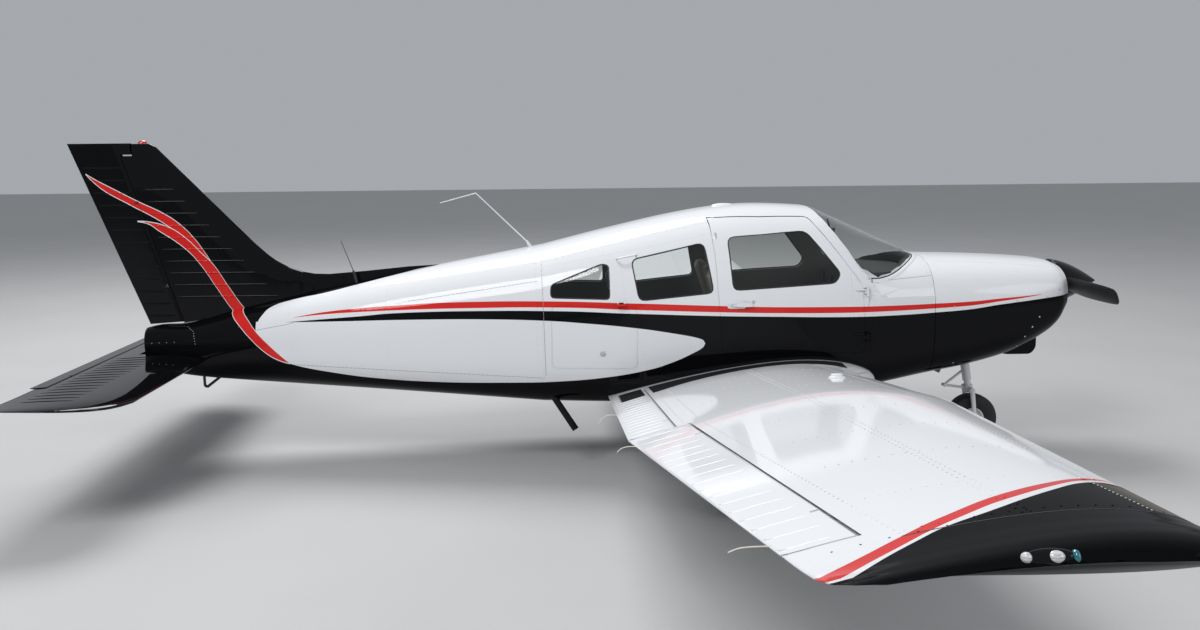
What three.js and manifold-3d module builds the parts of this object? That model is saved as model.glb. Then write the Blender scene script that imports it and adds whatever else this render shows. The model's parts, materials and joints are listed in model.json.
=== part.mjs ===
// A four-seat low-wing light aircraft with fixed tricycle landing gear.
// Units are millimetres. X points forward, Y to the pilot's left, Z up, and the ground is Z = 0.
import * as THREE from 'three';
import { mergeVertices } from 'three/addons/utils/BufferGeometryUtils.js';
import Module from 'manifold-3d';

const wasm = await Module();
wasm.setup();

// Gaps
const SEAT_GAP = 0.3;
const PIN_GAP = 0.4;
const RUN_GAP = 6;
const END_GAP = 11;

// Fuselage lengths, walls and glass
const TAIL_END_X = -3140;
const CABIN_REAR_X = -360;
const FIREWALL_X = 2285;
const NOSE_X = 3262;
const CABIN_WALL = 38;
const CONE_WALL = 10;
const COWL_WALL = 12;
const GLASS_DEPTH = 4;
const GLASS_THICKNESS = 6;
const RING_POINTS = 28;
const FACET_TOLERANCE = 0.1;
// Limits of the zones that cut the skins apart, all outside them
const AHEAD_X = 3500;
const BESIDE_Y = 700;
const ROOF_Z = 1900;
const BEHIND_CABIN_X = -400;

// Columns: x, bottom, top, half width, waist height, roundness above and below the waist
const TAIL_STATIONS = [
  [TAIL_END_X, 690, 925, 92, 830, 2.3, 2.3],
  [-3050, 632, 945, 112, 825, 2.3, 2.4],
  [-2850, 584, 955, 148, 812, 2.3, 2.5],
  [-2500, 553, 1052, 215, 800, 2.4, 2.7],
  [-1400, 480, 1285, 390, 830, 2.5, 3.2],
  [CABIN_REAR_X, 408, 1478, 530, 900, 2.7, 3.8],
];
const CABIN_STATIONS = [
  [CABIN_REAR_X, 408, 1478, 530, 900, 2.7, 3.8],
  [100, 398, 1590, 562, 940, 2.8, 4.0],
  [600, 398, 1698, 580, 960, 2.9, 4.2],
  [1000, 405, 1750, 588, 980, 3.0, 4.4],
  [1400, 422, 1744, 586, 985, 3.0, 4.4],
  [1800, 474, 1700, 572, 985, 3.0, 4.2],
  [FIREWALL_X, 556, 1640, 507, 980, 2.9, 3.6],
];
const DECK_STATIONS = [
  [1700, 461, 1400, 578, 985, 6.4, 4.2],
  [1900, 491, 1397, 562, 985, 3.3, 4.2],
  [FIREWALL_X, 556, 1386, 507, 980, 2.75, 3.6],
];
const COWL_STATIONS = [
  [FIREWALL_X, 556, 1386, 507, 980, 2.75, 3.6],
  [2600, 610, 1378, 486, 1000, 2.85, 3.3],
  [2900, 690, 1364, 462, 1030, 2.9, 3.0],
  [3100, 790, 1350, 436, 1060, 2.8, 2.8],
  [3200, 872, 1338, 408, 1080, 2.7, 2.7],
  [NOSE_X, 975, 1315, 352, 1105, 2.6, 2.6],
];

// Windshield: where its middle line runs and how far it sweeps back at y = 1000
const SHIELD_BASE = { x: 2284, z: 1387, sweep: 1950 };
const SHIELD_TOP = { x: 1575, z: 1712, sweep: 690 };
const SHIELD_HEIGHTS = [1140, 1262, 1387, 1500, 1610, 1712, 1800];
const SHIELD_HALF = 640;
const SHIELD_STEPS = 12;
// The deck ahead of the windshield starts above this height
const DECK_FOOT_Z = 1110;
const PILLAR_LOW = [1822, 1262];
const PILLAR_HIGH = [1500, 1712];
const PILLAR_REACH = 110;

// Openings in the side skin, as corners x, z and a corner radius
const DOOR = { corners: [[838, 782], [776, 1684], [1432, 1684], [1772, 1222], [1797, 782]], radius: 28 };
const DOOR_SWEEP_HEIGHTS = [700, 782, 950, 1100, 1222, 1340, 1450, 1554, 1620, 1684, 1740];
const DOOR_SWEEP_SIDES = 72;
const DOOR_REAR_REACH = 80;
const DOOR_PANE = {
  corners: [[905, 1200], [874, 1554], [1408, 1594], [1632, 1306], [1592, 1240]], radius: 48,
};
const REAR_PANE = { corners: [[282, 1136], [232, 1410], [722, 1520], [784, 1186]], radius: 48 };
const AFT_PANE = { corners: [[-304, 1158], [-304, 1246], [42, 1384], [90, 1372], [94, 1148]], radius: 30 };
const HANDLE = {
  outside: [925, -612, 1098, 1030, -560, 1124], hollow: [940, -606, 1090, 1015, -540, 1130],
};
const BAG_DOOR = { corners: [[-292, 688], [-292, 1098], [268, 1098], [268, 688]], radius: 34 };
// Where the roof panel and the belly panel meet the two side panels
const ROOF_LINE = [[BEHIND_CABIN_X, 1345], [722, 1560], [900, 1612], [1700, 1612]];
const BELLY_Z = 640;
// How near the middle line the side openings cut
const PANEL_INSIDE_Y = 250;
const DOOR_HINGE = { x: 1806, y: -582, z: 1186, lowZ: 880, lean: 0.063, radius: 9, pin: 4.5, knuckle: 30 };
const BAG_HINGE = { y: -590, z: 1116, places: [-190, 166], lean: -0.12, radius: 7, pin: 3.5, knuckle: 30 };

// Wing: constant chord to the kink, then tapered to the tip joint
const WING = {
  inner: 430, kink: 2690, joint: 5000, tip: 5090, trailX: 78, trailTipX: 368, leadX: 1678, leadTipX: 1438,
  rootZ: 423, dihedral: 0.1261, noseRise: 100, noseRiseTip: 40, thickness: 0.145, camber: 0.022, points: 11,
};
// Columns: y and how far the leading edge reaches ahead of the straight one
const WING_STATIONS = [[WING.inner, 222], [660, 160], [900, 0], [WING.kink, 0], [WING.joint - SEAT_GAP, 0]];
// Columns: y, leading edge x, trailing edge x, share of the thickness above and below the chord, lift
const TIP_STATIONS = [
  [WING.joint, 1447, 357, 1, 1, 0], [5090, 1438, 368, 1, 0.86, 2], [5180, 1420, 376, 0.95, 0.55, 8],
  [5262, 1376, 396, 0.8, 0.28, 20], [5312, 1285, 430, 0.5, 0.08, 32], [5334, 1130, 500, 0.12, 0.03, 38],
];
// Control surfaces: ends along Y, chord at each end, bracket places as shares, travel in degrees
const BRACKET_PLACES = [0.14, 0.86];
const FLAP = { inner: 617, outer: 2652, chord: 215, chordTip: 215, places: BRACKET_PLACES, up: 0, down: 40 };
const AILERON = {
  inner: 2663, outer: 4900, chord: 280, chordTip: 200, places: BRACKET_PLACES, up: 20, down: 20,
};
const BRACKET = { thickness: 7, disc: 0.55, pin: 0.25, arm: 0.3, slotGap: 5 };
// How far a cove's cut reaches behind the hinge, and above and below it
const COVE = { back: 420, deep: 200 };
const ARC_STEPS = 6;
const EDGE_HALF = 1.5;
const JACK_PAD = { x: 1010, y: 2350, radius: 18, drop: 14 };

// Tail surfaces
// Columns: height and leading edge x of the fin, then of the low strip ahead of it
const FIN_LEAD = [
  [930, -1960], [1240, -1960], [1299, -2018], [1343, -2147], [1387, -2225], [1430, -2282], [1515, -2374],
  [2148, -2986], [2189, -3024], [2208, -3062],
];
// Columns: share of the fin's chord and share of its half width
const FIN_SECTION = [[0, 0], [0.02, 0.35], [0.08, 0.66], [0.25, 0.95], [0.45, 1], [1, 0.78]];
const DORSAL_TOP = [
  [-1060, 1346], [-1300, 1334], [-1600, 1306], [-1860, 1287], [-1960, 1290], [-2060, 1308], [-2300, 1360],
];
const FIN = {
  halfRoot: 42, halfTop: 26, dorsalHalf: 20, dorsalRidge: 7, dorsalFoot: 60, topRear: -3180, web: 60,
};
const RUDDER = {
  low: [-2899, 966], high: [-3268, 2112], noseLow: 34, noseHigh: 22,
  trailLow: [-3122, 948], trailHigh: [-3627, 2212], topZ: 2212,
  hornX: -3190, hornZ: 2134, hornGap: 9, heights: [1220, 1800], travel: 27,
};
const STABILATOR = {
  root: 187, leadX: -2704, trailX: -3393, pivotX: -2915, pivotZ: 720, tilt: 0.035, thickness: 0.092,
  bridgeX: -3180, tube: 29,
};
// Columns: y, leading edge x, share of the thickness above and below the chord, lift
const STABILATOR_STATIONS = [
  [1420, STABILATOR.leadX, 1, 1, 0], [1560, -2740, 0.95, 0.8, 2], [1660, -2805, 0.85, 0.6, 5],
  [1735, -2910, 0.7, 0.4, 9], [1785, -3060, 0.45, 0.2, 13], [1808, -3230, 0.15, 0.06, 15],
];
const TAB = { half: 1145, hingeX: -3337, trailX: -3430, nose: 10.5, places: [-800, 800], travel: 20 };
const TAB_STEPS = 4;

// How fast the stabilator's inner edges close in behind the tail cone
const ROOT_TAPER = 0.191;

// Landing gear
const MAIN_WHEEL = { x: 840, y: 1525, radius: 222, half: 78, rim: 96 };
const NOSE_WHEEL = { x: 2745, radius: 176, half: 62, rim: 76 };
const MAIN_LEG = { inset: 148, housing: 38, piston: 27, axle: 18, topZ: 690, collarZ: 392 };
const NOSE_LEG = { top: [2640, 860], bottom: [2716, 415], tube: 31, axle: 12, trunnionZ: [700, 840] };

// Power plant
const PROP = {
  z: 1171, hub: 58, hubDepth: 76, plane: 31, plate: 4, spinner: 160, shell: 6, base: 3281, tip: 3627,
  shaft: 40,
};
// Columns: distance from the middle, chord, thickness, blade angle in degrees
const BLADE = [
  [50, 60, 48, 40], [150, 84, 40, 36], [260, 130, 28, 35], [420, 148, 22, 30], [700, 132, 14, 23],
  [900, 104, 9, 18], [930, 66, 6, 17],
];
// Columns: share of the chord and share of the thickness
const BLADE_SECTION = [
  [0.5, 0], [0.3, 0.42], [0, 0.5], [-0.3, 0.3], [-0.5, 0], [-0.3, -0.3], [0, -0.42], [0.3, -0.34],
];
const ENGINE = { x0: 2420, x1: 3080, half: 330, z0: 915, z1: 1240 };
// Columns: y and z of the engine's mounting tubes
const ENGINE_MOUNTS = [[-190, 965], [190, 965], [-190, 1235], [190, 1235]];
const MOUNT_RADIUS = 12;
const EXHAUST = {
  radius: 24, down: [2500, -150, 914.7], bend: [2500, -150, 700], joint: [2506, -149.4, 712],
  end: [2424, -158, 552], bore: 20, boreFrom: [2447, -155.6, 597], boreTo: [2401, -160.4, 507],
};
// How far ahead of the cabin's front end the firewall's plate reaches
const PLATE_DEPTH = 4.6;
const COWL_X0 = FIREWALL_X + 5;
const COWL_SPLIT_Z = 1052;
const EXIT = { x: 2540, half: 190, z0: 400, z1: 700 };
const INLET = { x: 3120, y: 258, z: 1126, half: 82, tall: 58, radius: 40 };
const SCOOP = { x0: 2800, x1: 3148, half: 135, z0: 664, z1: 880, wall: 12, mouthX: 2940, mouthTop: 835 };
const SCOOP_SIDE = [[2830, 690], [2830, 880], [3160, 880], [3146, 705], [3110, 664], [2930, 664]];

// Cabin fittings
const FLOOR = { x0: -340, x1: 2260, z0: 600, z1: 625 };
const PANEL = { x: 1905, depth: 30, z0: 960, shelfX: 2210, shelfZ: 1286, shelf: 16 };
const YOKE = { x: 1735, y: 235, z: 1125, radius: 11, half: 120, horn: 105 };
const FRONT_SEAT = {
  y: 262, half: 225, x0: 880, x1: 1385, cushionZ: [790, 905], backTopX: 735, backTopZ: 1345, depth: 95,
};
const REAR_SEAT = {
  y: 0, half: 470, x0: 175, x1: 640, cushionZ: [760, 870], backTopX: 60, backTopZ: 1275, depth: 90,
};

// Small outside fittings made of round bars. Columns: from, to, radius at each end, sides
const WHIP_BARS = [
  [[-430, 0, 1440], [-470, 0, 1505], 17, 8, 8],
  [[-462, 0, 1495], [-823, 0, 1846], 5, 4, 6],
  [[-820, 0, 1845], [-1073, 0, 1778], 4, 3, 6],
];
const STUB_BARS = [
  [[-1650, -75, 1195], [-1678, -82, 1318], 12, 7, 8],
  [[-1676, -81, 1310], [-1752, -104, 1528], 3, 2, 6],
];
const GRIP_BARS = [
  [[135, -560, 1424], [272, -562, 1450], 7, 7, 6],
  [[135, -560, 1424], [135, -480, 1405], 7, 7, 6],
  [[272, -562, 1450], [272, -480, 1428], 7, 7, 6],
];
const STEP_BARS = [[[-310, -400, 500], [-143, -455, 253], 22, 23, 14]];
const SKID_BARS = [
  [[-2769, 0, 600], [-2766, 0, 500], 10, 10, 8],
  [[-2766, 0, 502], [-2750, 0, 491], 10, 10, 8],
  [[-2750, 0, 491], [-2640, 0, 575], 10, 10, 8],
];
const BLISTER = { x: 925, z: 1737, size: [88, 44, 20] };
const BEACON = { x: -3112, top: 2234, radius: 34, topRadius: 20 };
// Columns: height, length and half width of the pitot mast's section
const PITOT_ROWS = [[560, 70, 9], [690, 110, 14], [1000, 110, 14]];
const PITOT = { x: 1180, y: 2780, top: 860 };

// Colours and finishes
const paint = (color, roughness = 0.28, metalness = 0) =>
  new THREE.MeshStandardMaterial({ color, roughness, metalness });
const WHITE = paint(0xf2f2f0);
const BLACK = paint(0x0c0c0d, 0.2);
const TRIM = paint(0x2b2c2e, 0.6);
const SEAT = paint(0x8d8a84, 0.8);
const GLASS = paint(0x20262a, 0.05);
const METAL = paint(0xb9bcbf, 0.35, 0.9);
const STEEL = paint(0x6a6c6e, 0.45, 0.8);
const TYRE = paint(0x161616, 0.9);
const LAMP = paint(0xb01410, 0.15);

const aircraft = new THREE.Group();

// Solids

function solidFrom(positions, triangles) {
  const [a, b, c] = [new THREE.Vector3(), new THREE.Vector3(), new THREE.Vector3()];
  let volume = 0;
  for (let i = 0; i < triangles.length; i += 3) {
    a.fromArray(positions, triangles[i] * 3);
    b.fromArray(positions, triangles[i + 1] * 3);
    c.fromArray(positions, triangles[i + 2] * 3);
    volume += a.dot(b.cross(c));
  }
  const outward = volume < 0 ? triangles.toReversed() : triangles;
  return new wasm.Manifold(new wasm.Mesh({
    numProp: 3, vertProperties: Float32Array.from(positions), triVerts: Uint32Array.from(outward),
  }));
}

function solid(geometry) {
  geometry.deleteAttribute('normal');
  geometry.deleteAttribute('uv');
  const merged = mergeVertices(geometry, 1e-3);
  return solidFrom(Array.from(merged.attributes.position.array), Array.from(merged.index.array));
}

function geometryOf(manifold) {
  const { vertProperties, triVerts } = manifold.getMesh();
  const geometry = new THREE.BufferGeometry();
  geometry.setAttribute('position', new THREE.BufferAttribute(vertProperties, 3));
  geometry.setIndex(new THREE.BufferAttribute(triVerts, 1));
  geometry.computeVertexNormals();
  return geometry;
}

const joined = (parts) => parts.reduce((sum, part) => sum.add(part));
const cutBy = (body, tools) => tools.reduce((rest, tool) => rest.subtract(tool), body);
const mirrored = (body) => body.mirror([0, 1, 0]);

// The largest of the pieces that a cut leaves
function mainPiece(body) {
  return body.decompose().reduce((best, piece) => (piece.volume() > best.volume() ? piece : best));
}

function box(x0, y0, z0, x1, y1, z1) {
  const geometry = new THREE.BoxGeometry(x1 - x0, y1 - y0, z1 - z0);
  return solid(geometry.translate((x0 + x1) / 2, (y0 + y1) / 2, (z0 + z1) / 2));
}

// A round bar between two points, which may taper
function bar(from, to, radius, endRadius = radius, sides = 14) {
  const way = new THREE.Vector3(...to).sub(new THREE.Vector3(...from));
  const geometry = new THREE.CylinderGeometry(endRadius, radius, way.length(), sides);
  geometry.translate(0, way.length() / 2, 0);
  geometry.applyQuaternion(
    new THREE.Quaternion().setFromUnitVectors(new THREE.Vector3(0, 1, 0), way.normalize()));
  return solid(geometry.translate(...from));
}

// The radius of a bore whose flat sides clear a turning pin by the gap
const boreRadius = (pin, sides) => (pin + PIN_GAP) / Math.cos(Math.PI / sides);

const areaOf = (points) => points.reduce((sum, [u, v], k) => {
  const [nextU, nextV] = points[(k + 1) % points.length];
  return sum + u * nextV - nextU * v;
}, 0);

// A body through rings of equal length, whose end faces are flat in the two axes named
function loft(rings, across, up) {
  const count = rings[0].length;
  const triangles = [];
  for (let r = 0; r + 1 < rings.length; r += 1) {
    for (let i = 0; i < count; i += 1) {
      const a = r * count + i;
      const b = r * count + ((i + 1) % count);
      triangles.push(a, b, a + count, b, b + count, a + count);
    }
  }
  const addEnd = (ring, offset, sameWay) => {
    const flat = ring.map((point) => [point[across], point[up]]);
    const faces = THREE.ShapeUtils.triangulateShape(flat.map((point) => new THREE.Vector2(...point)), []);
    for (const face of faces) {
      const matches = areaOf(face.map((index) => flat[index])) * areaOf(flat) > 0;
      const turned = matches === sameWay ? face : face.toReversed();
      triangles.push(...turned.map((index) => index + offset));
    }
  };
  addEnd(rings[0], 0, false);
  addEnd(rings.at(-1), (rings.length - 1) * count, true);
  return solidFrom(rings.flat(2), triangles);
}

function roundedShape(corners, radius) {
  const shape = new THREE.Shape();
  corners.forEach((corner, k) => {
    const here = new THREE.Vector2(...corner);
    const before = new THREE.Vector2(...corners.at(k - 1)).sub(here);
    const after = new THREE.Vector2(...corners[(k + 1) % corners.length]).sub(here);
    const reach = Math.min(radius, before.length() * 0.45, after.length() * 0.45);
    const start = here.clone().add(before.setLength(reach));
    const stop = here.clone().add(after.setLength(reach));
    if (k === 0) {
      shape.moveTo(start.x, start.y);
    } else {
      shape.lineTo(start.x, start.y);
    }
    shape.quadraticCurveTo(here.x, here.y, stop.x, stop.y);
  });
  shape.closePath();
  return shape;
}

// An outline moved outwards by a distance
function grown(corners, distance) {
  const turn = Math.sign(areaOf(corners));
  return corners.map((corner, k) => {
    const here = new THREE.Vector2(...corner);
    const inWay = here.clone().sub(new THREE.Vector2(...corners.at(k - 1))).normalize();
    const outWay = new THREE.Vector2(...corners[(k + 1) % corners.length]).sub(here).normalize();
    const mitre = new THREE.Vector2(inWay.y + outWay.y, -inWay.x - outWay.x).multiplyScalar(turn);
    return here.add(mitre.multiplyScalar((2 * distance) / mitre.lengthSq())).toArray();
  });
}

// A prism along Y from corners in the side view, with rounded corners
function sidePrism({ corners, radius }, y0, y1, grow = 0) {
  const shape = roundedShape(grown(corners, grow), radius + grow);
  const settings = { depth: y1 - y0, bevelEnabled: false, curveSegments: 3 };
  return solid(new THREE.ExtrudeGeometry(shape, settings).rotateX(Math.PI / 2).translate(0, y1, 0));
}

// The same prism on the right-hand side, leaning about a line along X at the hinge's height
function leaningPrism(panel, hinge, grow) {
  const turned = sidePrism(panel, -1000, -PANEL_INSIDE_Y, grow).translate(0, -hinge.y, -hinge.z);
  return turned.rotate([-THREE.MathUtils.radToDeg(hinge.lean), 0, 0]).translate(0, hinge.y, hinge.z);
}

function addNode(name, body, material) {
  const mesh = new THREE.Mesh(geometryOf(body.simplify(FACET_TOLERANCE)), material);
  mesh.name = name;
  aircraft.add(mesh);
}

// Both sides' pieces from the left one
function addPair(name, body, material) {
  addNode(`${name}_left`, body, material);
  addNode(`${name}_right`, mirrored(body), material);
}

// Fuselage sections

// The station at x on a smooth curve through a table's rows
function stationAt(table, x) {
  const above = table.findIndex((row) => row[0] > x);
  const k = above < 0 ? table.length - 2 : Math.max(above - 1, 0);
  const [low, high] = [table[k], table[k + 1]];
  const t = (x - low[0]) / (high[0] - low[0]);
  const slope = (row, column) => {
    const before = table[Math.max(row - 1, 0)];
    const after = table[Math.min(row + 1, table.length - 1)];
    return ((after[column] - before[column]) / (after[0] - before[0])) * (high[0] - low[0]);
  };
  return low.map((value, column) => {
    const rise = high[column] - value;
    const [m0, m1] = [slope(k, column), slope(k + 1, column)];
    return value + t * m0 + t * t * (3 * rise - 2 * m0 - m1) + t * t * t * (m0 + m1 - 2 * rise);
  });
}

function ringAt(table, x, inset) {
  const [, bottom, top, half, waist, roundTop, roundBottom] = stationAt(table, x);
  return Array.from({ length: RING_POINTS }, (_, k) => {
    const angle = (2 * Math.PI * k) / RING_POINTS;
    const [c, s] = [Math.cos(angle), Math.sin(angle)];
    const power = 2 / (s > 0 ? roundTop : roundBottom);
    const reach = s > 0 ? top - inset - waist : waist - bottom - inset;
    const y = (half - inset) * Math.sign(c) * Math.abs(c) ** power;
    return [x, y, waist + reach * Math.sign(s) * Math.abs(s) ** power];
  });
}

// Half the body's width at a place in the side view
function skinAt(table, x, z) {
  const [, bottom, top, half, waist, roundTop, roundBottom] = stationAt(table, x);
  const part = z > waist ? (z - waist) / (top - waist) : (waist - z) / (waist - bottom);
  const power = z > waist ? roundTop : roundBottom;
  return half * Math.max(0, 1 - part ** power) ** (1 / power);
}

function hull(table, x0, x1, steps, inset = 0) {
  const places = Array.from({ length: steps + 1 }, (_, k) => x0 + ((x1 - x0) * k) / steps);
  return loft(places.map((x) => ringAt(table, x, inset)), 1, 2);
}

// Cabin

// Everything ahead of the windshield's surface, which is moved inwards by a distance
function aheadOfShield(inward) {
  const surface = (y, z) => {
    const t = (z - SHIELD_BASE.z) / (SHIELD_TOP.z - SHIELD_BASE.z);
    const sweep = SHIELD_BASE.sweep + t * (SHIELD_TOP.sweep - SHIELD_BASE.sweep);
    return SHIELD_BASE.x + t * (SHIELD_TOP.x - SHIELD_BASE.x) - sweep * (y / 1000) ** 2;
  };
  const rings = SHIELD_HEIGHTS.map((z) => {
    const near = Array.from({ length: SHIELD_STEPS + 1 }, (_, k) => {
      const y = SHIELD_HALF * ((2 * k) / SHIELD_STEPS - 1);
      const steepness = Math.hypot(1, surface(y + 1, z) - surface(y, z), surface(y, z + 1) - surface(y, z));
      return [surface(y, z) - inward * steepness, y, z];
    });
    return [...near, [AHEAD_X, SHIELD_HALF, z], [AHEAD_X, -SHIELD_HALF, z]];
  });
  return loft(rings, 0, 1);
}

// The zone ahead of the windshield's side pillars
function aheadOfPillars(gap) {
  const slope = (PILLAR_HIGH[0] - PILLAR_LOW[0]) / (PILLAR_HIGH[1] - PILLAR_LOW[1]);
  const foot = [PILLAR_LOW[0] - slope * PILLAR_REACH + gap, PILLAR_LOW[1] - PILLAR_REACH];
  const head = [PILLAR_HIGH[0] + slope * PILLAR_REACH + gap, PILLAR_HIGH[1] + PILLAR_REACH];
  const corners = [foot, head, [AHEAD_X, head[1]], [AHEAD_X, foot[1]]];
  return sidePrism({ corners, radius: 1 }, -BESIDE_Y, BESIDE_Y);
}

const CABIN_STEPS = 9;
const DECK_STEPS = 3;

// The cabin's shape moved inwards, and past its two ends by a reach
function cabinHull(inset, reach = 0) {
  return hull(CABIN_STATIONS, CABIN_REAR_X - reach, FIREWALL_X + reach, CABIN_STEPS, inset);
}

function deckHull(inset, reach = 0) {
  return hull(DECK_STATIONS, DECK_STATIONS[0][0], FIREWALL_X + reach, DECK_STEPS, inset)
    .subtract(box(0, -BESIDE_Y, 0, AHEAD_X, BESIDE_Y, DECK_FOOT_Z));
}

const cabinOutside = cabinHull(0).subtract(aheadOfShield(0)).add(deckHull(0));
const cabinInside = cabinHull(CABIN_WALL, 1)
  .subtract(aheadOfShield(GLASS_DEPTH + GLASS_THICKNESS + SEAT_GAP)).add(deckHull(CABIN_WALL, 1));
const cabinWall = cabinOutside.subtract(cabinInside);

// The space that the door sweeps about its hinge line, to its rear edge
function doorSweep(gap) {
  const [low, high] = DOOR.corners;
  const profile = DOOR_SWEEP_HEIGHTS.map((z) => {
    const x = low[0] + ((z - low[1]) / (high[1] - low[1])) * (high[0] - low[0]);
    const y = skinAt(CABIN_STATIONS, x, Math.min(z, high[1])) + DOOR_HINGE.y;
    return new THREE.Vector2(Math.hypot(DOOR_HINGE.x - x, y) + gap, z - DOOR_HINGE.z);
  });
  const ends = [new THREE.Vector2(0, profile[0].y), ...profile, new THREE.Vector2(0, profile.at(-1).y)];
  const turned = solid(new THREE.LatheGeometry(ends, DOOR_SWEEP_SIDES).rotateX(Math.PI / 2));
  return turned.rotate([-THREE.MathUtils.radToDeg(DOOR_HINGE.lean), 0, 0])
    .translate(DOOR_HINGE.x, DOOR_HINGE.y, DOOR_HINGE.z);
}

// The door's outline, reaching past its rear edge, which the sweep then cuts
const doorOutline = {
  corners: DOOR.corners.map(([x, z], k) => [k < 2 ? x - DOOR_REAR_REACH : x, z]), radius: DOOR.radius,
};
const doorSpace = (gap) => leaningPrism(doorOutline, DOOR_HINGE, gap).intersect(doorSweep(gap));
const bagSpace = (gap) => leaningPrism(BAG_DOOR, BAG_HINGE, gap);

// A hinge of three knuckles on one pin, with a strap from each knuckle to its own panel
function hingeAt(centre, axis, fixedWay, movingWay, { radius, pin, knuckle }) {
  const way = new THREE.Vector3(...axis).normalize();
  const at = (distance) => new THREE.Vector3(...centre).addScaledVector(way, distance).toArray();
  const strap = (from, to, reach) => {
    const offset = new THREE.Vector3(...reach).projectOnPlane(way);
    const side = new THREE.Vector3().crossVectors(way, offset).setLength(radius * 0.5);
    const corner = (distance, out, sign) => new THREE.Vector3(...at(distance))
      .addScaledVector(offset, out).addScaledVector(side, sign).toArray();
    const ring = (distance) => [[0, -1], [1, -1], [1, 1], [0, 1]]
      .map(([out, sign]) => corner(distance, out, sign));
    const flat = Math.abs(way.x) > 0.5 ? [1, 2] : [0, 1];
    return loft([ring(from), ring(to)], ...flat);
  };
  const tube = (from, to, size, sides = 10) => bar(at(from), at(to), size, size, sides);
  const [near, far] = [knuckle / 2, knuckle];
  const fixed = joined([
    tube(-far, -near - SEAT_GAP, radius), tube(near + SEAT_GAP, far, radius), tube(-far, far, pin),
    strap(-far, -near - SEAT_GAP, fixedWay), strap(near + SEAT_GAP, far, fixedWay),
  ]);
  const moving = tube(-near, near, radius).add(strap(-near, near, movingWay))
    .subtract(tube(-far, far, boreRadius(pin, 20), 20));
  return { fixed, moving };
}

const doorHinges = [DOOR_HINGE.z, DOOR_HINGE.lowZ].map((z) => hingeAt(
  [DOOR_HINGE.x, DOOR_HINGE.y + (z - DOOR_HINGE.z) * DOOR_HINGE.lean, z], [0, DOOR_HINGE.lean, 1],
  [22, 40, 0], [-34, 34, 0], DOOR_HINGE));
const bagHinges = BAG_HINGE.places.map((x) => hingeAt(
  [x, BAG_HINGE.y, BAG_HINGE.z], [1, 0, 0], [0, 40, 14], [0, 42, -36], BAG_HINGE));

// Room in the fixed skin for the moving knuckles and straps
const hingeRoom = [
  ...[DOOR_HINGE.z, DOOR_HINGE.lowZ].map((z) => box(
    DOOR_HINGE.x - 50, -640, z - 20, DOOR_HINGE.x + 16, -530, z + 20)),
  ...BAG_HINGE.places.map((x) => box(x - 20, -640, BAG_HINGE.z - 46, x + 20, -530, BAG_HINGE.z + 14)),
];

function makeCabin() {
  const panes = [
    ['window_rear_right', REAR_PANE, -1], ['window_aft_right', AFT_PANE, -1],
    ['window_front_left', DOOR_PANE, 1], ['window_rear_left', REAR_PANE, 1], ['window_aft_left', AFT_PANE, 1],
  ];
  const holeFor = (pane, side, grow) => {
    const hole = sidePrism(pane, PANEL_INSIDE_Y, BESIDE_Y, grow);
    return side > 0 ? hole : mirrored(hole);
  };
  const shieldHole = aheadOfPillars(0).subtract(deckHull(0));
  const fixedLeaves = joined([...doorHinges, ...bagHinges].map((hinge) => hinge.fixed)).subtract(cabinInside);
  const shell = cutBy(cabinWall, [
    doorSpace(RUN_GAP), bagSpace(RUN_GAP), shieldHole, ...hingeRoom,
    ...panes.map(([, pane, side]) => holeFor(pane, side, SEAT_GAP)),
  ]).add(fixedLeaves);
  const roofTop = [[ROOF_LINE.at(-1)[0], ROOF_Z], [BEHIND_CABIN_X, ROOF_Z]];
  const roofZone = (drop) => sidePrism(
    { corners: [...ROOF_LINE.map(([x, z]) => [x, z - drop]), ...roofTop], radius: 1 }, -BESIDE_Y, BESIDE_Y);
  const bellyZone = (rise) => box(BEHIND_CABIN_X, -BESIDE_Y, 0, AHEAD_X, BESIDE_Y, BELLY_Z + rise);
  addNode('cabin_roof', mainPiece(shell.intersect(roofZone(0))), WHITE);
  addNode('cabin_belly', mainPiece(shell.intersect(bellyZone(0))), BLACK);
  const sides = shell.subtract(roofZone(SEAT_GAP)).subtract(bellyZone(SEAT_GAP));
  const leftZone = box(BEHIND_CABIN_X, SEAT_GAP / 2, 0, AHEAD_X, BESIDE_Y, ROOF_Z);
  addNode('cabin_side_left', mainPiece(sides.intersect(leftZone)), WHITE);
  addNode('cabin_side_right', mainPiece(sides.intersect(mirrored(leftZone))), WHITE);

  const paneLayer = cabinHull(GLASS_DEPTH).subtract(cabinHull(GLASS_DEPTH + GLASS_THICKNESS));
  for (const [name, pane, side] of panes) {
    addNode(name, mainPiece(paneLayer.intersect(holeFor(pane, side, 0))), GLASS);
  }
  const shield = cabinHull(GLASS_DEPTH).subtract(aheadOfShield(GLASS_DEPTH))
    .intersect(aheadOfShield(GLASS_DEPTH + GLASS_THICKNESS)).intersect(aheadOfPillars(SEAT_GAP))
    .subtract(deckHull(-SEAT_GAP));
  addNode('windshield', mainPiece(shield), GLASS);

  const doorPaneHole = leaningPrism(DOOR_PANE, DOOR_HINGE, SEAT_GAP);
  const door = cabinWall.intersect(doorSpace(0)).subtract(doorPaneHole)
    .add(joined(doorHinges.map((hinge) => hinge.moving)).subtract(cabinInside));
  const handle = box(...HANDLE.outside).subtract(box(...HANDLE.hollow)).subtract(cabinInside);
  addNode('cabin_door', mainPiece(door.add(handle)), WHITE);
  addNode('door_window', mainPiece(paneLayer.intersect(leaningPrism(DOOR_PANE, DOOR_HINGE, 0))), GLASS);
  const bag = cabinWall.intersect(bagSpace(0))
    .add(joined(bagHinges.map((hinge) => hinge.moving)).subtract(cabinInside));
  addNode('baggage_door', mainPiece(bag), WHITE);
}

makeCabin();

// Wing

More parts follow.
